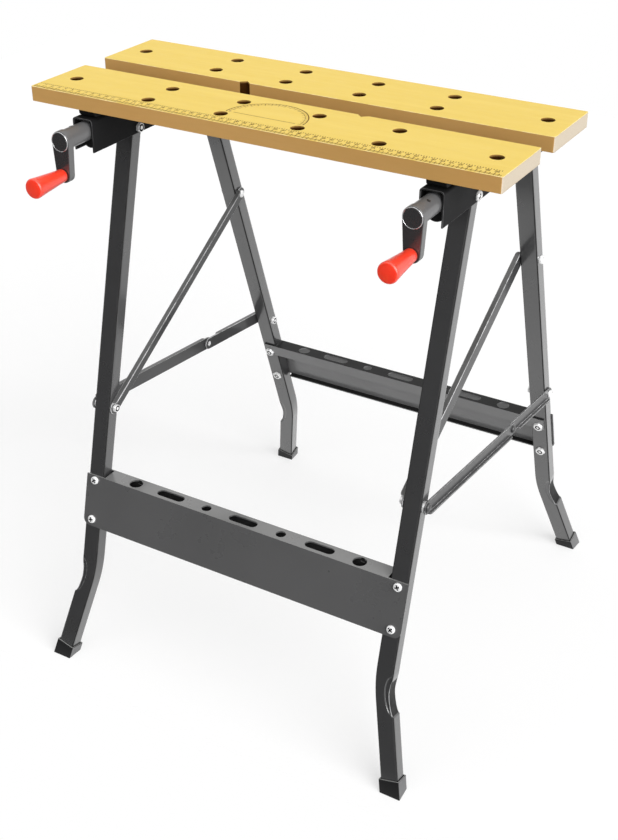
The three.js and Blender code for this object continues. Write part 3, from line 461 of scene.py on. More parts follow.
def loft(rings):
    """Closed shell through rings of points."""
    bm = bmesh.new()
    rows = [[bm.verts.new(p) for p in ring] for ring in rings]
    skin(bm, rows)
    bm.faces.new(rows[0][::-1])
    bm.faces.new(rows[-1])
    return bm


def quarter(steps, first=0):
    """Angles of a quarter turn in equal steps."""
    return [math.pi / 2 * k / steps for k in range(first, steps + 1)]


def ring_of(radius, height, segments):
    angles = (2 * math.pi * k / segments for k in range(segments))
    return [(radius * math.cos(a), radius * math.sin(a), height) for a in angles]


def lathe(profile, segments):
    """Profile of (radius, height) pairs turned about +Z; radius 0 only at its ends."""
    bm = bmesh.new()
    inner = [p for p in profile if p[0] > 0]
    rows = [[bm.verts.new(p) for p in ring_of(r, h, segments)] for r, h in inner]
    skin(bm, rows)
    for end, row, flip in ((profile[0], rows[0], True), (profile[-1], rows[-1], False)):
        if end[0] > 0:
            continue
        tip = bm.verts.new((0, 0, end[1]))
        for k in range(segments):
            pair = (row[k], row[(k + 1) % segments])
            bm.faces.new((*(pair[::-1] if flip else pair), tip))
    if profile[0][0] > 0:
        skin(bm, [rows[-1], rows[0]])
    return bm


def circle(cx, cy, r, n, clockwise=False):
    pts = [Vector((cx, cy)) + Vector(p[:2]) for p in ring_of(r, 0, n)]
    return pts[::-1] if clockwise else pts


def inset(loop, d):
    """Loop moved to its left by d; material lies on the left."""
    out = []
    n = len(loop)
    for k in range(n):
        a = (loop[k] - loop[k - 1]).normalized()
        b = (loop[(k + 1) % n] - loop[k]).normalized()
        na, nb = Vector((-a.y, a.x)), Vector((-b.y, b.x))
        out.append(loop[k] + (na + nb) * (d / (1 + na.dot(nb))))
    return out


def slab(loops, z0, z1, c, steps=2):
    """Flat piece from z0 to z1 with edges rounded by c.

    The first loop is its outline, the others are its holes, clockwise.
    """
    bm = bmesh.new()
    tops, bottoms = [], []
    turns = quarter(steps)
    for loop in loops:
        rings = [(inset(loop, c * (1 - math.sin(t))), z0 + c * (1 - math.cos(t))) for t in turns]
        rings += [(inset(loop, c * (1 - math.cos(t))), z1 - c * (1 - math.sin(t))) for t in turns]
        rows = [[bm.verts.new((p.x, p.y, z)) for p in ring] for ring, z in rings]
        skin(bm, rows)
        n = len(loop)
        bottoms += [bm.edges.get((rows[0][k], rows[0][(k + 1) % n])) for k in range(n)]
        tops += [bm.edges.get((rows[-1][k], rows[-1][(k + 1) % n])) for k in range(n)]
    bmesh.ops.triangle_fill(bm, use_beauty=True, use_dissolve=False, edges=tops, normal=(0, 0, 1))
    bmesh.ops.triangle_fill(bm, use_beauty=True, use_dissolve=False, edges=bottoms, normal=(0, 0, -1))
    return bm


def transform(bm, matrix):
    bmesh.ops.transform(bm, matrix=matrix, verts=bm.verts[:])
    if matrix.determinant() < 0:
        bmesh.ops.reverse_faces(bm, faces=bm.faces[:])
    return bm


def add_bm(target, source, slot=0):
    """Adds a shell to another; slot moves its faces' material numbers up."""
    for f in source.faces:
        f.material_index += slot
    mesh = bpy.data.meshes.new("shell")
    source.to_mesh(mesh)
    source.free()
    target.from_mesh(mesh)
    bpy.data.meshes.remove(mesh)
    return target


def along(axis, at):
    """Matrix that stands +Z along an axis at a point."""
    turn = Vector((0, 0, 1)).rotation_difference(Vector(axis))
    return Matrix.Translation(at) @ turn.to_matrix().to_4x4()


# Boards
BOARD_HALF = span("front_jaw_board", 0)[1]
BOARD_DEPTH = span("front_jaw_board", 1)[1] - span("front_jaw_board", 1)[0]
BOARD_FOOT, BOARD_TOP = span("front_jaw_board", 2)
BOARD_CORNER = 2 * MM
CORNER_STEPS = 3
BOARD_ROUND = 0.45 * MM
NOTCH_X, NOTCH_HALF, NOTCH_DEPTH = 91 * MM, 7 * MM, 6 * MM
DOG_RADIUS = 8 * MM
DOG_SIDES = 44
DOG_ROW = 24 * MM
DOG_COLUMNS = (50 * MM, 150 * MM)
DOG_END = 274 * MM
EDGE_MARGIN = 0.6 * MM
RIM_LOW, RIM_HIGH = 0.25, 0.97
TOP_FACING, EDGE_FACING = 0.6, 0.75


def dog_holes():
    ends = [(side * DOG_END, 0.0) for side in (-1, 1)]
    return ends + [(sx * x, sy * DOG_ROW) for x in DOG_COLUMNS for sx in (-1, 1) for sy in (-1, 1)]


def board_bm():
    """Board about its own centre with the notch in its +Y edge."""
    w, h, c = BOARD_HALF, BOARD_DEPTH / 2, BOARD_CORNER
    outline = []
    for sx, sy, first in ((-1, -1, 180), (1, -1, 270), (1, 1, 0), (-1, 1, 90)):
        centre = Vector((sx * (w - c), sy * (h - c)))
        for k in range(CORNER_STEPS + 1):
            a = math.radians(first + 90 * k / CORNER_STEPS)
            outline.append(centre + Vector((math.cos(a), math.sin(a))) * c)
        if sx == sy == 1:
            notch = ((NOTCH_X + NOTCH_HALF, h), (NOTCH_X, h - NOTCH_DEPTH), (NOTCH_X - NOTCH_HALF, h))
            outline += [Vector(p) for p in notch]
    holes = [circle(x, y, DOG_RADIUS, DOG_SIDES, clockwise=True) for x, y in dog_holes()]
    return slab([outline] + holes, BOARD_FOOT, BOARD_TOP, BOARD_ROUND)


def make_board(node, turned):
    y = middle(node, 1)
    bm = transform(board_bm(), Matrix.Translation((0, y, 0)) @ Matrix.Rotation(math.pi * turned, 4, "Z"))
    bm.normal_update()
    film, edge, raw, bore, rim = range(5)
    for f in bm.faces:
        m = f.calc_center_median()
        inside = abs(m.y - y) < BOARD_DEPTH / 2 - EDGE_MARGIN and abs(m.x) < BOARD_HALF - BOARD_CORNER
        if not inside and RIM_LOW < f.normal.z < RIM_HIGH:
            f.material_index = rim
        elif f.normal.z > TOP_FACING:
            f.material_index = film
        elif inside and abs(f.normal.z) < TOP_FACING:
            f.material_index = bore
        elif abs(f.normal.y) > EDGE_FACING:
            f.material_index = edge
        else:
            f.material_index = raw
    look(node, bm, [FILM, SHADED_BOARD_EDGE, RAW, BORE_WALL_AND_SHADE, FILM_RIM], sharp=42)


make_board("front_jaw_board", False)
make_board("rear_jaw_board", True)

# Print on the front board: ruler along its front edge and a protractor in the middle
PRINT_LIFT = 0.03 * MM
RULER_HALF = 299 * MM
RULER_INSET = 1.0 * MM
TICK_PITCH = 1.0 * MM
TICKS_PER_NUMBER = 10
TICKS = {10: (7.6 * MM, 0.9 * MM), 5: (6.0 * MM, 0.9 * MM), 1: (4.4 * MM, 0.3 * MM)}
UPPER_PITCH = 3.0 * MM
UPPER_BASE, UPPER_TICK, UPPER_WIDTH = 13.8 * MM, 2.4 * MM, 1.0 * MM
ARC_WIDTH, ARC_INNER_WIDTH, ARC_TICK_WIDTH, BASELINE_WIDTH = 1.2 * MM, 0.45 * MM, 0.55 * MM, 0.8 * MM
DIGIT_HEIGHT = 3.2 * MM
DIGIT_WIDTH = 1.8 * MM
DIGIT_GAP = 0.8 * MM
DIGIT_BASE = 9.2 * MM
DIGIT_STROKE = 0.65 * MM
ARC_RADIUS = 50 * MM
ARC_DROP = 13 * MM
ARC_INNER = 46 * MM
ARC_STEP = 2
ARC_TICK_STEP, ARC_LONG_STEP = 5, 10
ARC_SHORT_TICK, ARC_LONG_TICK = 4 * MM, 7 * MM
BASELINE_INSET = 10 * MM
DIGIT_PATHS = {
    "0": [[(0, 0), (1, 0), (1, 2), (0, 2), (0, 0)]],
    "1": [[(0.2, 1.6), (0.6, 2), (0.6, 0)]],
    "2": [[(0, 2), (1, 2), (1, 1), (0, 1), (0, 0), (1, 0)]],
    "3": [[(0, 2), (1, 2), (1, 0), (0, 0)], [(0.2, 1), (1, 1)]],
    "4": [[(0, 2), (0, 1), (1, 1)], [(1, 2), (1, 0)]],
    "5": [[(1, 2), (0, 2), (0, 1), (1, 1), (1, 0), (0, 0)]],
    "6": [[(1, 2), (0, 2), (0, 0), (1, 0), (1, 1), (0, 1)]],
    "7": [[(0, 2), (1, 2), (0.4, 0)]],
    "8": [[(0, 0), (1, 0), (1, 2), (0, 2), (0, 0)], [(0, 1), (1, 1)]],
    "9": [[(1, 1), (0, 1), (0, 2), (1, 2), (1, 0), (0, 0)]],
}


def board_print():
    """Flat strokes just above the front board."""
    bm = bmesh.new()
    z = BOARD_TOP + PRINT_LIFT
    board_y = middle("front_jaw_board", 1)
    ruler_y = board_y - BOARD_DEPTH / 2 + RULER_INSET

    def stroke(a, b, width):
        d = (b - a).normalized()
        n = Vector((-d.y, d.x)) * (width / 2)
        bm.faces.new([bm.verts.new((p.x, p.y, z)) for p in (a - n, b - n, b + n, a + n)])

    def number(text, centre_x, foot_y):
        pitch = DIGIT_WIDTH + DIGIT_GAP
        left = centre_x - (len(text) * pitch - DIGIT_GAP) / 2
        for k, digit in enumerate(text):
            foot_x = left + k * pitch
            for path in DIGIT_PATHS[digit]:
                pts = [Vector((foot_x + u * DIGIT_WIDTH, foot_y + v * DIGIT_HEIGHT / 2)) for u, v in path]
                for a, b in zip(pts, pts[1:]):
                    reach = (b - a).normalized() * (DIGIT_STROKE / 2)
                    stroke(a - reach, b + reach, DIGIT_STROKE)

    for k in range(round(2 * RULER_HALF / TICK_PITCH) + 1):
        x = -RULER_HALF + k * TICK_PITCH
        length, width = next(TICKS[step] for step in TICKS if k % step == 0)
        stroke(Vector((x, ruler_y)), Vector((x, ruler_y + length)), width)
        if k % TICKS_PER_NUMBER == 0 and k > 0:
            number(str(k // TICKS_PER_NUMBER), x, ruler_y + DIGIT_BASE)
    for k in range(round(2 * RULER_HALF / UPPER_PITCH)):
        foot = Vector((-RULER_HALF + k * UPPER_PITCH, ruler_y + UPPER_BASE))
        stroke(foot, foot + Vector((0, UPPER_TICK)), UPPER_WIDTH)

    centre = Vector((0, board_y - ARC_DROP))

    def ray(degrees):
        return Vector((math.cos(math.radians(degrees)), math.sin(math.radians(degrees))))

    for k in range(0, 180, ARC_STEP):
        for radius, width in ((ARC_RADIUS, ARC_WIDTH), (ARC_INNER, ARC_INNER_WIDTH)):
            stroke(centre + ray(k) * radius, centre + ray(k + ARC_STEP) * radius, width)
    for k in range(0, 181, ARC_TICK_STEP):
        length = ARC_LONG_TICK if k % ARC_LONG_STEP == 0 else ARC_SHORT_TICK
        stroke(centre + ray(k) * (ARC_RADIUS - length), centre + ray(k) * ARC_RADIUS, ARC_TICK_WIDTH)
    reach = Vector((ARC_RADIUS - BASELINE_INSET, 0))
    stroke(centre - reach, centre + reach, BASELINE_WIDTH)
    return finish_mesh(bm, "board_print")


place("board_print", board_print(), "front_jaw_board", [INK], replaces=False, weighted=False)

# Legs: rectangular tube, bent outward at the foot over a pressed dent
LEG_CORNER = 1.8 * MM
CORNER_SHARE = 0.9
BEND_RADIUS = 200 * MM
SPLAY = math.radians(13)
FOOT_OFFSET = 33 * MM
END_LIFT = 7 * MM
DENT_SHARE = 0.8
DENT_LENGTH = 60 * MM
DENT_DEPTH = 4.6 * MM
DENT_PEAK = 0.55
DENT_FADE = 0.1
DENT_SHADE_FROM = 0.3
DENT_MARGIN = 4 * MM
CREASE_LENGTH = 53 * MM
CREASE_INSET = 11 * MM
CREASE_STEP = 0.9 * MM
CREASE_WIDTH = 1.2 * MM
CREASE_FADE = 0.6
FACE_MARGIN = 0.2 * MM
BEND_LENGTH = BEND_RADIUS * SPLAY
TOP_RINGS, TOP_START = 6, 6
UPPER_ROWS, DENT_ROWS, FOOT_ROWS = 5, 80, 4
ACROSS, ALONG_SIDE, ARC = 18, 6, 5
SECTION = 2 * (ACROSS + ALONG_SIDE + 2 * ARC)
SIDE_START = ACROSS + ARC
CAP_ROUND = 0.8 * MM


def smooth(a, b, t):
    u = min(1.0, max(0.0, (t - a) / (b - a)))
    return u * u * (3 - 2 * u)


def tube_section(half_d):
    """Rounded rectangle as (x, y) pairs, closely spaced across its front and rear faces."""
    w, d, r = LEG_W / 2, half_d, min(LEG_CORNER, half_d * CORNER_SHARE)
    pts = []

    def run(a, b, count):
        for k in range(count):
            t = k / count
            pts.append((a[0] + (b[0] - a[0]) * t, a[1] + (b[1] - a[1]) * t))

    def corner(cx, cy, first):
        for k in range(ARC):
            a = math.radians(first + 90 * k / ARC)
            pts.append((cx + r * math.cos(a), cy + r * math.sin(a)))

    run((-w + r, -d), (w - r, -d), ACROSS)
    corner(w - r, -d + r, -90)
    run((w, -d + r), (w, d - r), ALONG_SIDE)
    corner(w - r, d - r, 0)
    run((w - r, d), (-w + r, d), ACROSS)
    corner(-w + r, d - r, 90)
    run((-w, d - r), (-w, -d + r), ALONG_SIDE)
    corner(-w + r, -d + r, 180)
    return pts


def leg_line(s, bend_top):
    """Middle line at arc length s below the start of the bend: x, z and turn."""
    if s <= 0:
        return 0.0, bend_top - s, 0.0
    turn = min(s, BEND_LENGTH) / BEND_RADIUS
    rest = max(0.0, s - BEND_LENGTH)
    x = BEND_RADIUS * (1 - math.cos(turn)) + rest * math.sin(turn)
    return x, bend_top - BEND_RADIUS * math.sin(turn) - rest * math.cos(turn), turn


def press_depth(t):
    """Depth of the dent from 0 to 1: slow upper slope, full below the middle, short lower end."""
    if not 0 < t < 1:
        return 0.0
    if t < DENT_PEAK:
        return smooth(0.0, DENT_PEAK, t)
    return math.sqrt(1 - ((t - DENT_PEAK) / (1 - DENT_PEAK)) ** 2)


def pressed(px, py, press, bow):
    """Point of the section pushed in by the dent and by the step along its crease."""
    u, v = px, py
    if px > 0:
        u -= DENT_DEPTH * press * smooth(DENT_FADE, 1.0, px / (LEG_W / 2))
    fold = LEG_W / 2 - CREASE_INSET * bow
    if bow > 0 and px > fold and abs(py) > LEG_D / 2 - FACE_MARGIN:
        step = CREASE_STEP * smooth(0.0, CREASE_FADE, bow)
        v -= math.copysign(step * smooth(0.0, CREASE_WIDTH, px - fold), py)
    return u, v


def leg_bm(length):
    """Leg hanging from its pivot, its lower end bent towards +X.

    Edges and the dent have material 1, painted shade; edges in the dent have material 2, painted highlight.
    """
    bend_top = -length + FOOT_OFFSET / math.tan(SPLAY) + BEND_RADIUS * math.tan(SPLAY / 2)
    middle_s = DENT_SHARE * BEND_LENGTH
    dent_top = middle_s - DENT_LENGTH / 2
    foot_run = (FOOT_OFFSET - BEND_RADIUS * (1 - math.cos(SPLAY))) / math.sin(SPLAY)
    end_s = BEND_LENGTH + foot_run - END_LIFT
    half = LEG_D / 2
    rings = []
    for k in range(TOP_RINGS + 1):
        z = half * math.cos(math.radians(TOP_START + (90 - TOP_START) * k / TOP_RINGS))
        depth = math.sqrt(half * half - z * z)
        rings.append([Vector((px, py, z)) for px, py in tube_section(depth)])
    presses = [0.0] * len(rings)
    first, last = dent_top - DENT_MARGIN, dent_top + DENT_LENGTH + DENT_MARGIN
    stations = [bend_top * (1 - k / UPPER_ROWS) for k in range(1, UPPER_ROWS)]
    stations += [first + (last - first) * k / DENT_ROWS for k in range(DENT_ROWS + 1)]
    stations += [last + (end_s - last) * k / FOOT_ROWS for k in range(1, FOOT_ROWS + 1)]
    for s in sorted(stations):
        x, z, turn = leg_line(s, bend_top)
        press = press_depth((s - dent_top) / DENT_LENGTH)
        presses.append(press)
        off = (s - middle_s) / (CREASE_LENGTH / 2)
        bow = math.sqrt(1 - off * off) if abs(off) < 1 else 0.0
        ring = []
        for px, py in tube_section(half):
            u, v = pressed(px, py, press, bow)
            ring.append(Vector((x + u * math.cos(turn), v, z + u * math.sin(turn))))
        rings.append(ring)
    bm = loft(rings)
    bm.faces.ensure_lookup_table()
    half_section = SECTION // 2
    for row, press in enumerate(presses[:-1]):
        for k in range(SECTION):
            after_first = k % half_section - ACROSS
            after_second = after_first - ARC - ALONG_SIDE
            on_edge = 1 <= after_first <= ARC - 2 or 1 <= after_second <= ARC - 2
            in_dent = ACROSS <= k < SIDE_START + ALONG_SIDE + ARC and press > DENT_SHADE_FROM
            # Material 1 paints shade on the edges and in the dent; material 2 paints a highlight on edges in
            # the dent.
            bm.faces[row * SECTION + k].material_index = on_edge + in_dent
    return bm


for name, (base, lean, side) in LEG_FRAMES.items():
    for hand, flip in HANDS.items():
        stance = flip @ base @ Matrix.Translation((LEG_X, 0, 0))
        bm = transform(leg_bm(FRONT_PIVOT.z / math.cos(lean)), stance)
        look(f"{hand}_{name}_leg", bm, [LEG_PAINT, EDGE_AND_DENT_SHADE, DENT_EDGE_HIGHLIGHT], sharp=30, weighted=False)
        # The caps' sideways faces take the lighter rubber as painted light.
        dress(f"{hand}_{name}_foot", CAP_ROUND, RUBBER, finishes=[(LIT_SIDE_RUBBER, faces_sideways)])

# Fasteners: shells that stand on z = 0, their profiles as shares of radius and height
HEAD_SIDES, ROUND_SIDES, ROD_SIDES = 48, 36, 28
PAN_PROFILE = ((1.0, 0.0), (1.0, 0.3), (0.95, 0.6), (0.85, 0.85), (0.7, 1.0))
RECESS_REACH, RECESS_ARM = 0.62, 0.15
RECESS_RINGS = ((1.1, 1.0), (1.0, 0.95), (0.75, 0.25))
RECESS_EDGE, RECESS_LEVEL = 1.05, 0.96
HOLLOW_FROM, HOLLOW_TO = 0.29, 0.55
DOME_PROFILE = ((0, 0.0), (1.0, 0.0), (1.0, 0.3), (0.94, 0.55), (0.8, 0.78), (0.55, 0.94), (0.28, 1.0),
                (0, 1.0))
NUT_SHOULDER, NUT_FACE = 0.72, 0.97
BOLT_END_PROFILE = ((1.3, 1.0), (1.2, 0.75), (0.75, 0.75), (0.7, 1.05), (0.5, 1.15))
BOLT_END_SHADE = (3, 4, 5)
WASHER_ROUND = 0.3 * MM


def cross_head(radius, height):
    """Pan head with a cross recess; the recess has material 1, painted shade."""
    reach, arm = RECESS_REACH * radius, RECESS_ARM * radius

    def cross(scale, z):
        ring = []
        for x, y, _ in ring_of(1.0, 0.0, HEAD_SIDES):
            small, big = sorted((abs(x), abs(y)))
            r = arm / small if small * reach > arm * big else reach / big
            ring.append((scale * r * x, scale * r * y, z))
        return ring

    rings = [ring_of(radius * r, height * h, HEAD_SIDES) for r, h in PAN_PROFILE]
    rings += [cross(scale, height * h) for scale, h in RECESS_RINGS]
    bm = loft(rings)
    for f in bm.faces:
        within = all(v.co.xy.length < RECESS_EDGE * reach for v in f.verts)
        f.material_index = int(within and 0 < f.calc_center_median().z < RECESS_LEVEL * height)
    return bm


def hollow_head(radius, height):
    """Turned-over head of a tubular rivet: rolled rim, dark hollow with material 1, painted shade, small
    centre point.
    """
    rim = [(0, 0.0), (1.0, 0.0), (1.0, 0.35), (0.93, 0.75), (0.80, 1.0), (0.66, 0.95), (0.56, 0.55)]
    hollow = [(0.50, 0.25), (0.30, 0.25)]
    point = [(0.26, 0.55), (0.14, 0.72), (0, 0.75)]
    bm = lathe([(radius * r, height * h) for r, h in rim + hollow + point], ROUND_SIDES)
    for f in bm.faces:
        m = f.calc_center_median()
        f.material_index = int(HOLLOW_FROM < m.xy.length / radius < HOLLOW_TO and m.z > 0)
    return bm


def dome_head(radius, height):
    return lathe([(radius * r, height * h) for r, h in DOME_PROFILE], ROUND_SIDES)


def hex_nut(across, height, bore):
    """Hexagon nut with chamfered corners and a bolt end in it; the gap round the bolt end has material 1,
    painted shade.
    """
    flat = across / 2

    def hexagon(z, limit):
        ring = []
        for k in range(HEAD_SIDES):
            a = 2 * math.pi * k / HEAD_SIDES
            r = min(flat / math.cos((a % (math.pi / 3)) - math.pi / 6), limit)
            ring.append((r * math.cos(a), r * math.sin(a), z))
        return ring

    corner = flat / math.cos(math.pi / 6)
    rings = [hexagon(0, corner), hexagon(height * NUT_SHOULDER, corner), hexagon(height, flat * NUT_FACE)]
    rings += [ring_of(bore * r, height * h, HEAD_SIDES) for r, h in BOLT_END_PROFILE]
    bm = loft(rings)
    bm.faces.ensure_lookup_table()
    for row in BOLT_END_SHADE:
        for k in range(HEAD_SIDES):
            bm.faces[row * HEAD_SIDES + k].material_index = 1
    return bm


def painted(bm):
    """Shell with the painted finish, material 2."""
    for f in bm.faces:
        f.material_index = 2
    return bm


def rod(radius, z0, z1):
    return lathe([(0, z0), (radius, z0), (radius, z1), (0, z1)], ROD_SIDES)


def washer(radius, height):
    c = WASHER_ROUND
    return lathe([(0, 0), (radius, 0), (radius, height - c), (radius - c, height), (0, height)], ROUND_SIDES)


HEAD_RADIUS = 5.6 * MM
HEAD_HEIGHT = 3 * MM
NUT_ACROSS = 12.5 * MM
NUT_HEIGHT = 3.4 * MM
BORE_RADIUS = 2.9 * MM
SEAT = 0.15 * MM
TOOL_RAIL_TOP = span("front_tool_rail", 2)[1]
UPPER_DROP, LOWER_DROP = 6.7 * MM, 63 * MM
PLATE_GAP = 0.2 * MM
PLATE_FACE = LEG_D / 2 + SHEET + PLATE_GAP
FIRST_TURN, TURN_PER_HAND, TURN_PER_METRE = 0.35, 0.5, 9


def sheet_screw(base, lean, side, down, nut_face, turn):
    """Cross-head screw through tool rail and leg with its nut behind."""
    drop = (FRONT_PIVOT.z - TOOL_RAIL_TOP) / math.cos(lean) + PLATE_FACE * math.tan(lean) + down
    head_y = side * (PLATE_FACE + SEAT)
    nut_y = -side * (nut_face + SEAT)
    bm = transform(cross_head(HEAD_RADIUS, HEAD_HEIGHT),
                   along((0, side, 0), (LEG_X, head_y, -drop)) @ Matrix.Rotation(turn, 4, "Z"))
    nut = transform(hex_nut(NUT_ACROSS, NUT_HEIGHT, BORE_RADIUS),
                    along((0, -side, 0), (LEG_X, nut_y, -drop)) @ Matrix.Rotation(turn, 4, "Z"))
    shank = transform(rod(BORE_RADIUS, 0, abs(head_y - nut_y)), along((0, side, 0), (LEG_X, nut_y, -drop)))
    return transform(add_bm(add_bm(bm, nut), shank), base)


for name, (base, lean, side) in LEG_FRAMES.items():
    for level, down, nut_face in (("upper", UPPER_DROP, PLATE_FACE), ("lower", LOWER_DROP, LEG_D / 2)):
        for k, (hand, flip) in enumerate(HANDS.items()):
            turn = FIRST_TURN + TURN_PER_HAND * k + TURN_PER_METRE * down
            bm = sheet_screw(base, lean, side, down, nut_face, turn)
            look(f"{hand}_{name}_{level}_screw", transform(bm, flip), [ZINC, RECESS_SHADE], sharp=32)


def cross_bolt(hand, part, *pieces):
    """Fastener along X at its node's place: pieces are (shell, x, direction) on the right hand."""
    node = f"{hand}_{part}"
    y, z = middle(node, 1), middle(node, 2)
    bm = bmesh.new()
    for shell, x, direction in pieces:
        add_bm(bm, transform(shell, along((direction, 0, 0), (x, y, z))))
    look(node, transform(bm, HANDS[hand]), [ZINC, RECESS_SHADE, LINK_PAINT], sharp=32)


def ends(part):
    return span(f"right_{part}", 0)


PIVOT_HEAD, PIVOT_NUT, PIVOT_BORE, PIVOT_ROD = 6.2 * MM, 11 * MM, 3.6 * MM, 4 * MM
LINK_HEAD, LINK_WASHER, LINK_NUT = 5.6 * MM, 7 * MM, 10 * MM
LINK_BORE, LINK_ROD = 3.2 * MM, 3.5 * MM
RIVET_HEAD, RIVET_ROD = 5 * MM, 3 * MM
STAY_HEAD, STAY_NUT = 5.5 * MM, 11 * MM
DIAGONAL_HEAD, DIAGONAL_RIVET = 5.5 * MM, 5.8 * MM
RAIL_IN, RAIL_OUT = ends("rail")
LEG_OUTER = LEG_X + LEG_W / 2
STAY_IN = ends("front_stay")[0]
STAY_OUT = STAY_IN + SHEET
REAR_STAY_OUT = ends("rear_stay")[0] + SHEET
DIAGONAL_IN = ends("diagonal")[1] - SHEET
for hand in HANDS:
    for part in ("front_pivot_bolt", "rear_pivot_bolt"):
        low, high = ends(part)
        cross_bolt(hand, part,
                   (hollow_head(PIVOT_HEAD, high - RAIL_OUT - SEAT), RAIL_OUT + SEAT, 1),
                   (hex_nut(PIVOT_NUT, RAIL_IN - SEAT - low, PIVOT_BORE), RAIL_IN - SEAT, -1),
                   (rod(PIVOT_ROD, 0, RAIL_OUT - RAIL_IN + SEAT), RAIL_IN, 1))
    low, high = ends("front_link_bolt")
    cross_bolt(hand, "front_link_bolt",
               (painted(dome_head(LINK_HEAD, high - STAY_OUT - SEAT)), STAY_OUT + SEAT, 1),
               (washer(LINK_WASHER, STAY_IN - LEG_OUTER - 2 * SEAT), LEG_OUTER + SEAT, 1),
               (hex_nut(LINK_NUT, DIAGONAL_IN - SEAT - low, LINK_BORE), DIAGONAL_IN - SEAT, -1),
               (rod(LINK_ROD, 0, STAY_OUT - DIAGONAL_IN), DIAGONAL_IN, 1))
    low, high = ends("stay_rivet")
    cross_bolt(hand, "stay_rivet",
               (painted(dome_head(RIVET_HEAD, high - STAY_OUT - SEAT)), STAY_OUT + SEAT, 1),
               (rod(RIVET_ROD, 0, STAY_OUT - low), low, 1))
    low, high = ends("stay_rear_bolt")
    cross_bolt(hand, "stay_rear_bolt",
               (hollow_head(STAY_HEAD, high - REAR_STAY_OUT - SEAT), REAR_STAY_OUT + SEAT, 1),
               (rod(LINK_ROD, 0, REAR_STAY_OUT - low), low, 1))
    low, high = ends("stay_rear_nut")
    cross_bolt(hand, "stay_rear_nut",
               (hex_nut(STAY_NUT, LEG_INNER - SEAT - low, LINK_BORE), LEG_INNER - SEAT, -1),
               (rod(LINK_ROD, 0, high - LEG_INNER), LEG_INNER, 1))
    low, high = ends("diagonal_bolt")
    cross_bolt(hand, "diagonal_bolt",
               (dome_head(DIAGONAL_HEAD, DIAGONAL_IN - SEAT - low), DIAGONAL_IN - SEAT, -1),
               (rod(LINK_ROD, 0, high - DIAGONAL_IN), DIAGONAL_IN, 1))
    low, high = ends("diagonal_nut")
    cross_bolt(hand, "diagonal_nut",
               (hollow_head(DIAGONAL_RIVET, high - LEG_OUTER - SEAT), LEG_OUTER + SEAT, 1),
               (rod(LINK_ROD, 0, LEG_OUTER - low), low, 1))

# Cranks: hub with a spring pin, tapered arm with a rimmed boss, pin, flared grip
HUB_RADIUS = 11.5 * MM
HUB_END = span("right_crank", 1)[1]
ARM_FRONT = -248 * MM
ARM_REAR = -238 * MM
ARM_TOP, ARM_LOW = 12.5 * MM, 10 * MM
ARM_TOP_STEPS, ARM_LOW_STEPS = 28, 24
SCREW_Z = middle("right_lead_screw", 2)
GRIP_Z = middle("right_crank_knob", 2)
THROW = SCREW_Z - GRIP_Z
ARM_ROUND, ARM_ROUND_STEPS = 1.0 * MM, 3
ARM_SIDE_FACING = 0.5
HUB_ROUND, HUB_ROUND_STEPS = 1.6 * MM, 5
HUB_SIDES, RIM_SIDES, WIRE_SIDES = 56, 72, 10
SINK = 1 * MM
BOSS_RADIUS = 11 * MM
BOSS_HEIGHT = 0.8 * MM
BOSS_CHAMFER = 0.4 * MM
RIM_WIRE, RIM_OUT, RIM_LIFT = 0.5 * MM, 0.35 * MM, 0.45 * MM
PIN_RADIUS = 4 * MM
PIN_END = span("right_crank", 1)[0]
SPRING_PIN, SPRING_PIN_SIDES = 2.3 * MM, 24
SPRING_PIN_PLACE = 26 * MM
SPRING_PIN_TILT = Vector((0.39, 0.92, 0))
SPRING_PIN_BORE, BORE_FLOOR = 0.6, 0.14 * MM
GRIP_ROOT, GRIP_END, GRIP_EDGE = 7.8 * MM, 12 * MM, 3.2 * MM
GRIP_PLAY = 0.3 * MM
GRIP_ROUND, GRIP_ROUND_STEPS = 1.2 * MM, 4
FLARE_STEPS, FLARE_CURVE = 12, 0.2
EDGE_STEPS, EDGE_INSET, CROWN = 6, 0.55, 0.5 * MM
CROWN_MIDDLE, CROWN_FALL = 0.5, 0.15 * MM
FACE_OUT = Matrix.Rotation(math.pi / 2, 4, "X")


def arc_points(centre, radius, first, last, count):
    angles = (first + (last - first) * k / count for k in range(count + 1))
    return [Vector((centre[0] + radius * math.cos(a), centre[1] + radius * math.sin(a))) for a in angles]


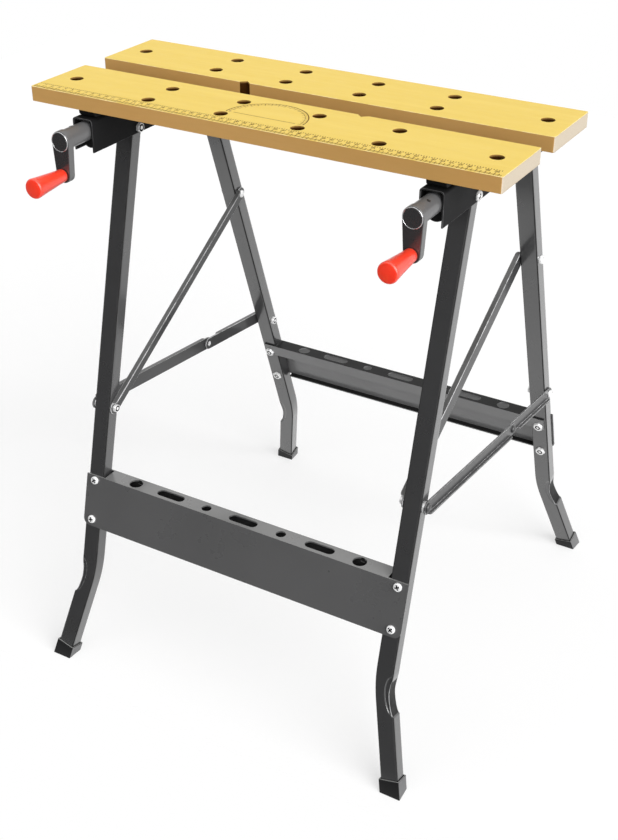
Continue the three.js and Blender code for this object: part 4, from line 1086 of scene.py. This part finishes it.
def crank_bm():
    """Crank about its screw axis: local z points out of the arm's face, local y up."""
    lean = math.asin((ARM_TOP - ARM_LOW) / THROW)
    outline = arc_points((0, 0), ARM_TOP, -lean, math.pi + lean, ARM_TOP_STEPS)
    outline += arc_points((0, -THROW), ARM_LOW, math.pi + lean, 2 * math.pi - lean, ARM_LOW_STEPS)
    bm = slab([outline], -ARM_REAR, -ARM_FRONT, ARM_ROUND, ARM_ROUND_STEPS)
    bm.normal_update()
    arm, bare, dark, lit_grey = range(4)
    # The arm's sides take the lighter copy of its paint as painted light.
    for f in bm.faces:
        f.material_index = lit_grey if abs(f.normal.z) < ARM_SIDE_FACING else arm
    c = HUB_ROUND
    turns = quarter(HUB_ROUND_STEPS)
    fillet = [(HUB_RADIUS - c + c * math.sin(a), -HUB_END + c - c * math.cos(a)) for a in turns]
    hub = [(0, -HUB_END), *fillet, (HUB_RADIUS, -ARM_REAR + SINK), (0, -ARM_REAR + SINK)]
    add_bm(bm, lathe(hub, HUB_SIDES), lit_grey)
    face = -ARM_FRONT
    boss = [(0, face - SINK), (BOSS_RADIUS, face - SINK), (BOSS_RADIUS, face + 0.5 * BOSS_HEIGHT),
            (BOSS_RADIUS - BOSS_CHAMFER, face + BOSS_HEIGHT), (0, face + BOSS_HEIGHT)]
    add_bm(bm, lathe(boss, HUB_SIDES), arm)
    wire = ring_of(RIM_WIRE, 0, WIRE_SIDES)
    rim = [(BOSS_RADIUS + RIM_OUT + x, face + RIM_LIFT + y) for x, y, _ in wire]
    add_bm(bm, lathe(rim, RIM_SIDES), bare)
    pin = rod(PIN_RADIUS, 0, -PIN_END + ARM_FRONT + SINK)
    add_bm(bm, transform(pin, Matrix.Translation((0, -THROW, face - SINK))), bare)
    sleeve = [(SPRING_PIN * r, h * MM) for r, h in
              ((0.45, -1), (1.0, -1), (1.0, 0.25), (0.8, 0.4), (0.62, 0.3), (0.45, 0.12))]
    at = SPRING_PIN_TILT * HUB_RADIUS + Vector((0, 0, -HUB_END + SPRING_PIN_PLACE))
    stand = along(SPRING_PIN_TILT, at)
    add_bm(bm, transform(lathe(sleeve, SPRING_PIN_SIDES), stand), arm)
    # The spring pin's bore takes the painted shade.
    add_bm(bm, transform(rod(SPRING_PIN * SPRING_PIN_BORE, -SINK, BORE_FLOOR), stand), dark)
    return bm


def grip_bm():
    """Grip about its own axis: local z points away from the arm."""
    root = -span("right_crank_knob", 1)[1]
    end = -span("right_crank_knob", 1)[0]
    bore, bore_end = PIN_RADIUS + GRIP_PLAY, -PIN_END + GRIP_PLAY
    flare_start, flare_end = root + GRIP_ROUND, end - GRIP_EDGE
    profile = [(0, bore_end), (bore, bore_end), (bore, root)]
    for a in quarter(GRIP_ROUND_STEPS):
        profile.append((GRIP_ROOT - GRIP_ROUND * (1 - math.sin(a)), flare_start - GRIP_ROUND * math.cos(a)))
    for k in range(1, FLARE_STEPS + 1):
        t = k / FLARE_STEPS
        widening = (1 - FLARE_CURVE) * t + FLARE_CURVE * t * t
        radius = GRIP_ROOT + (GRIP_END - GRIP_ROOT) * widening
        profile.append((radius, flare_start + (flare_end - flare_start) * t))
    for a in quarter(EDGE_STEPS, first=1):
        inward = GRIP_EDGE * EDGE_INSET * (1 - math.cos(a))
        profile.append((GRIP_END - inward, flare_end + (GRIP_EDGE - CROWN) * math.sin(a)))
    profile += [(GRIP_END * CROWN_MIDDLE, end - CROWN_FALL), (0, end)]
    return lathe(profile, HUB_SIDES)


for hand, flip in HANDS.items():
    axis = Matrix.Translation((LEG_X, 0, SCREW_Z)) @ FACE_OUT
    look(f"{hand}_crank", transform(crank_bm(), flip @ axis), [CRANK_PAINT, BARE, RECESS_SHADE, LIT_CRANK_GREY], sharp=40)
    axis = Matrix.Translation((LEG_X, 0, GRIP_Z)) @ FACE_OUT
    look(f"{hand}_crank_knob", transform(grip_bm(), flip @ axis), [GRIP_RED], sharp=50, weighted=False)

# Lead screws: journal, collar and a helical thread
THREAD_PITCH = 5 * MM
THREAD_DEPTH = 1.1 * MM
THREAD_STEPS, THREAD_SIDES = 8, 24
GROOVE_IN, GROOVE_OUT = (0.1, 0.4), (0.6, 0.9)
SCREW_RADIUS, JOURNAL_RADIUS, COLLAR_RADIUS = 5 * MM, 6 * MM, 9 * MM
COLLAR_GAP, COLLAR_LENGTH, COLLAR_ROUND = 0.3 * MM, 4 * MM, 0.2 * MM
SCREW_POINT = 3.1 * MM


def lead_screw_bm():
    """Screw about its own axis, local z from the crank towards the rear."""
    start, end = span("right_lead_screw", 1)
    collar = span("right_screw_bush", 1)[1] + COLLAR_GAP
    thread = collar + COLLAR_LENGTH
    profile = ((JOURNAL_RADIUS, start), (JOURNAL_RADIUS, collar), (COLLAR_RADIUS, collar + COLLAR_ROUND),
               (COLLAR_RADIUS, thread - COLLAR_ROUND), (SCREW_RADIUS, thread))
    rings = [ring_of(r, z, THREAD_SIDES) for r, z in profile]
    count = round((end - thread) / THREAD_PITCH * THREAD_STEPS)
    for k in range(1, count):
        z = thread + (end - thread) * k / count
        ring = []
        for j in range(THREAD_SIDES):
            phase = (z / THREAD_PITCH - j / THREAD_SIDES) % 1.0
            r = SCREW_RADIUS - THREAD_DEPTH * smooth(*GROOVE_IN, phase) * (1 - smooth(*GROOVE_OUT, phase))
            a = 2 * math.pi * j / THREAD_SIDES
            ring.append((r * math.cos(a), r * math.sin(a), z))
        rings.append(ring)
    rings.append(ring_of(SCREW_POINT, end, THREAD_SIDES))
    return loft(rings)


for hand, flip in HANDS.items():
    axis = Matrix.Translation((LEG_X, 0, SCREW_Z)) @ Matrix.Rotation(-math.pi / 2, 4, "X")
    look(f"{hand}_lead_screw", transform(lead_screw_bm(), flip @ axis), [ZINC], sharp=40, weighted=False)

# Pieces that keep the frame's own shapes
for hand in HANDS:
    dress(f"{hand}_rail", round_off=0.6 * MM, edge=RAIL_EDGE_HIGHLIGHT)
    dress(f"{hand}_front_bracket", round_off=0.9 * MM, edge=BLACK_PLASTIC)
    dress(f"{hand}_jaw_carriage", round_off=0.6 * MM, edge=BLACK_PLASTIC)
    dress(f"{hand}_screw_bush", round_off=0.5 * MM, edge=BLACK_PLASTIC)
    for part in ("diagonal", "front_stay", "rear_stay"):
        dress(f"{hand}_{part}", round_off=0.6 * MM, edge=LINK_EDGE_HIGHLIGHT, paint_mat=LINK_PAINT)

FLANGE_DEEP = 3 * SHEET
LIP_FACE = LEG_D / 2 - SHEET
LIP_HALF = LEG_X + 8 * MM


def inside_of(base, side):
    """Test for the underside of a tool rail's flange and the inner face of its lip, which take painted shade.
    """
    to_local = base.inverted()

    def test(face):
        centre = face.calc_center_median()
        facing = to_local.to_3x3() @ face.normal
        under = face.normal.z < -FACING and centre.z > TOOL_RAIL_TOP - FLANGE_DEEP
        lip = facing.y * side > FACING and -(to_local @ centre).y * side > LIP_FACE
        return under or lip

    return test


def shorten_lip(base, side):
    """Moves the ends of a tool rail's lip in from the legs' outer faces."""
    to_local = base.inverted()

    def trim(v):
        if abs(v.co.x) > LIP_HALF and -(to_local @ v.co).y * side > LIP_FACE:
            v.co.x = math.copysign(LIP_HALF, v.co.x)

    return trim


for name, (base, lean, side) in LEG_FRAMES.items():
    sheet_paint = SHEET_PAINT
    # The inner faces of the channel take painted shade.
    finishes = [(CHANNEL_SHADE, inside_of(base, side))]
    # The rear rail takes a lighter copy of the sheet paint as painted light, and painted shade on its
    # up-facing flange.
    if name == "rear":
        sheet_paint = LIT_REAR_SHEET_PAINT
        finishes.append((REAR_FLANGE_SHADE, faces_up))
    dress(f"{name}_tool_rail", round_off=0.5 * MM, edge=EDGE_AND_DENT_SHADE, paint_mat=sheet_paint, finishes=finishes,
          trim=shorten_lip(base, side))


# Floor, light and camera
def seen_directly(nt):
    """1 for camera, glossy and transmission rays."""
    path = make(nt, "ShaderNodeLightPath")
    seen = calc(nt, "MAXIMUM", path.outputs["Is Camera Ray"], path.outputs["Is Glossy Ray"])
    return calc(nt, "MAXIMUM", seen, path.outputs["Is Transmission Ray"])


def mix_shader(nt, factor, a, b):
    return make(nt, "ShaderNodeMixShader", {0: factor, 1: a, 2: b}).outputs[0]


def plain_shader(nt, kind, color, **inputs):
    return make(nt, kind, {"Color": (color, color, color), **inputs}).outputs[0]


def make_floor(left=-2.4, right=1.6, front=-0.37, back=2.4, full=-0.318, bounce=0.25, white=1.0, glow=0.6):
    """Floor that runs out softly in front of the feet, where the white surround goes on."""
    bm = bmesh.new()
    corners = ((left, front), (right, front), (right, back), (left, back))
    bm.faces.new([bm.verts.new((x, y, 0)) for x, y in corners])
    mesh = bpy.data.meshes.new("floor")
    bm.to_mesh(mesh)
    bm.free()
    floor = bpy.data.objects.new("floor", mesh)
    bpy.context.scene.collection.objects.link(floor)
    mat = bpy.data.materials.new("floor")
    mat.use_nodes = True
    nt = mat.node_tree
    nt.nodes.clear()
    shown = mix_shader(nt, glow, plain_shader(nt, "ShaderNodeBsdfDiffuse", white),
                       plain_shader(nt, "ShaderNodeEmission", 1.0, Strength=1.0))
    surface = mix_shader(nt, seen_directly(nt), plain_shader(nt, "ShaderNodeBsdfDiffuse", bounce), shown)
    gone = spread(nt, axis_of(nt, object_coords(nt), "Y"), 1.0, 0.0, front, full)
    surface = mix_shader(nt, gone, surface, plain_shader(nt, "ShaderNodeBsdfTransparent", 1.0))
    make(nt, "ShaderNodeOutputMaterial", {"Surface": surface})
    mesh.materials.append(mat)
    floor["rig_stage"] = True


CARD = Vector((-0.42, -0.87, -0.25)).normalized()
CARD_EDGE, CARD_FULL = 0.70, 0.88


def make_world(ambient=0.30, card_tone=0.04):
    """White surround with a dark card low at the front left, seen only in reflections."""
    world = bpy.data.worlds.new("studio")
    bpy.context.scene.world = world
    world.use_nodes = True
    nt = world.node_tree
    nt.nodes.clear()
    direction = make(nt, "ShaderNodeTexCoord").outputs["Generated"]
    towards = make(nt, "ShaderNodeVectorMath", {0: direction, 1: CARD}, operation="DOT_PRODUCT")
    card = spread(nt, towards.outputs["Value"], 0.0, 1.0 - card_tone, CARD_EDGE, CARD_FULL)
    card = calc(nt, "MULTIPLY", card, make(nt, "ShaderNodeLightPath").outputs["Is Glossy Ray"])
    shown = plain_shader(nt, "ShaderNodeBackground", 1.0, Strength=calc(nt, "SUBTRACT", 1.0, card))
    unseen = plain_shader(nt, "ShaderNodeBackground", 1.0, Strength=ambient)
    make(nt, "ShaderNodeOutputWorld", {"Surface": mix_shader(nt, seen_directly(nt), unseen, shown)})


def sun(name, direction, strength, angle, shines=True):
    """Distant soft lamp; a face square to it gets strength / pi of plain light. shines: shows in gloss."""
    lamp = bpy.data.lights.new(name, "SUN")
    lamp.energy = strength
    lamp.angle = math.radians(angle)
    obj = bpy.data.objects.new(name, lamp)
    obj.rotation_euler = Vector(direction).to_track_quat("Z", "Y").to_euler()
    obj.visible_glossy = shines
    bpy.context.scene.collection.objects.link(obj)


make_floor()
make_world()
sun("key", (0.80, -0.35, 0.48), strength=3.8, angle=55)
sun("overhead", (-0.1, -0.1, 1.0), strength=0.35, angle=60)
sun("fill", (-0.15, -1.0, 0.25), strength=0.65, angle=60, shines=False)

# Focal length in pixels of the photo's height
PHOTO_HEIGHT, FOCAL = 840, 1318.06
SENSOR_HEIGHT = 24
YAW, PITCH = 0.5312, 0.5383
EYE = (0.7650, -1.3692, 1.2410)
camera = bpy.data.cameras.new("camera")
camera.sensor_fit = "VERTICAL"
camera.sensor_height = SENSOR_HEIGHT
camera.lens = FOCAL / PHOTO_HEIGHT * SENSOR_HEIGHT
eye = bpy.data.objects.new("camera", camera)
eye.location = EYE
eye.rotation_euler = (math.pi / 2 - PITCH, 0, YAW)
bpy.context.scene.collection.objects.link(eye)
bpy.context.scene.camera = eye
bpy.context.scene.view_settings.view_transform = "Standard"

low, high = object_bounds()
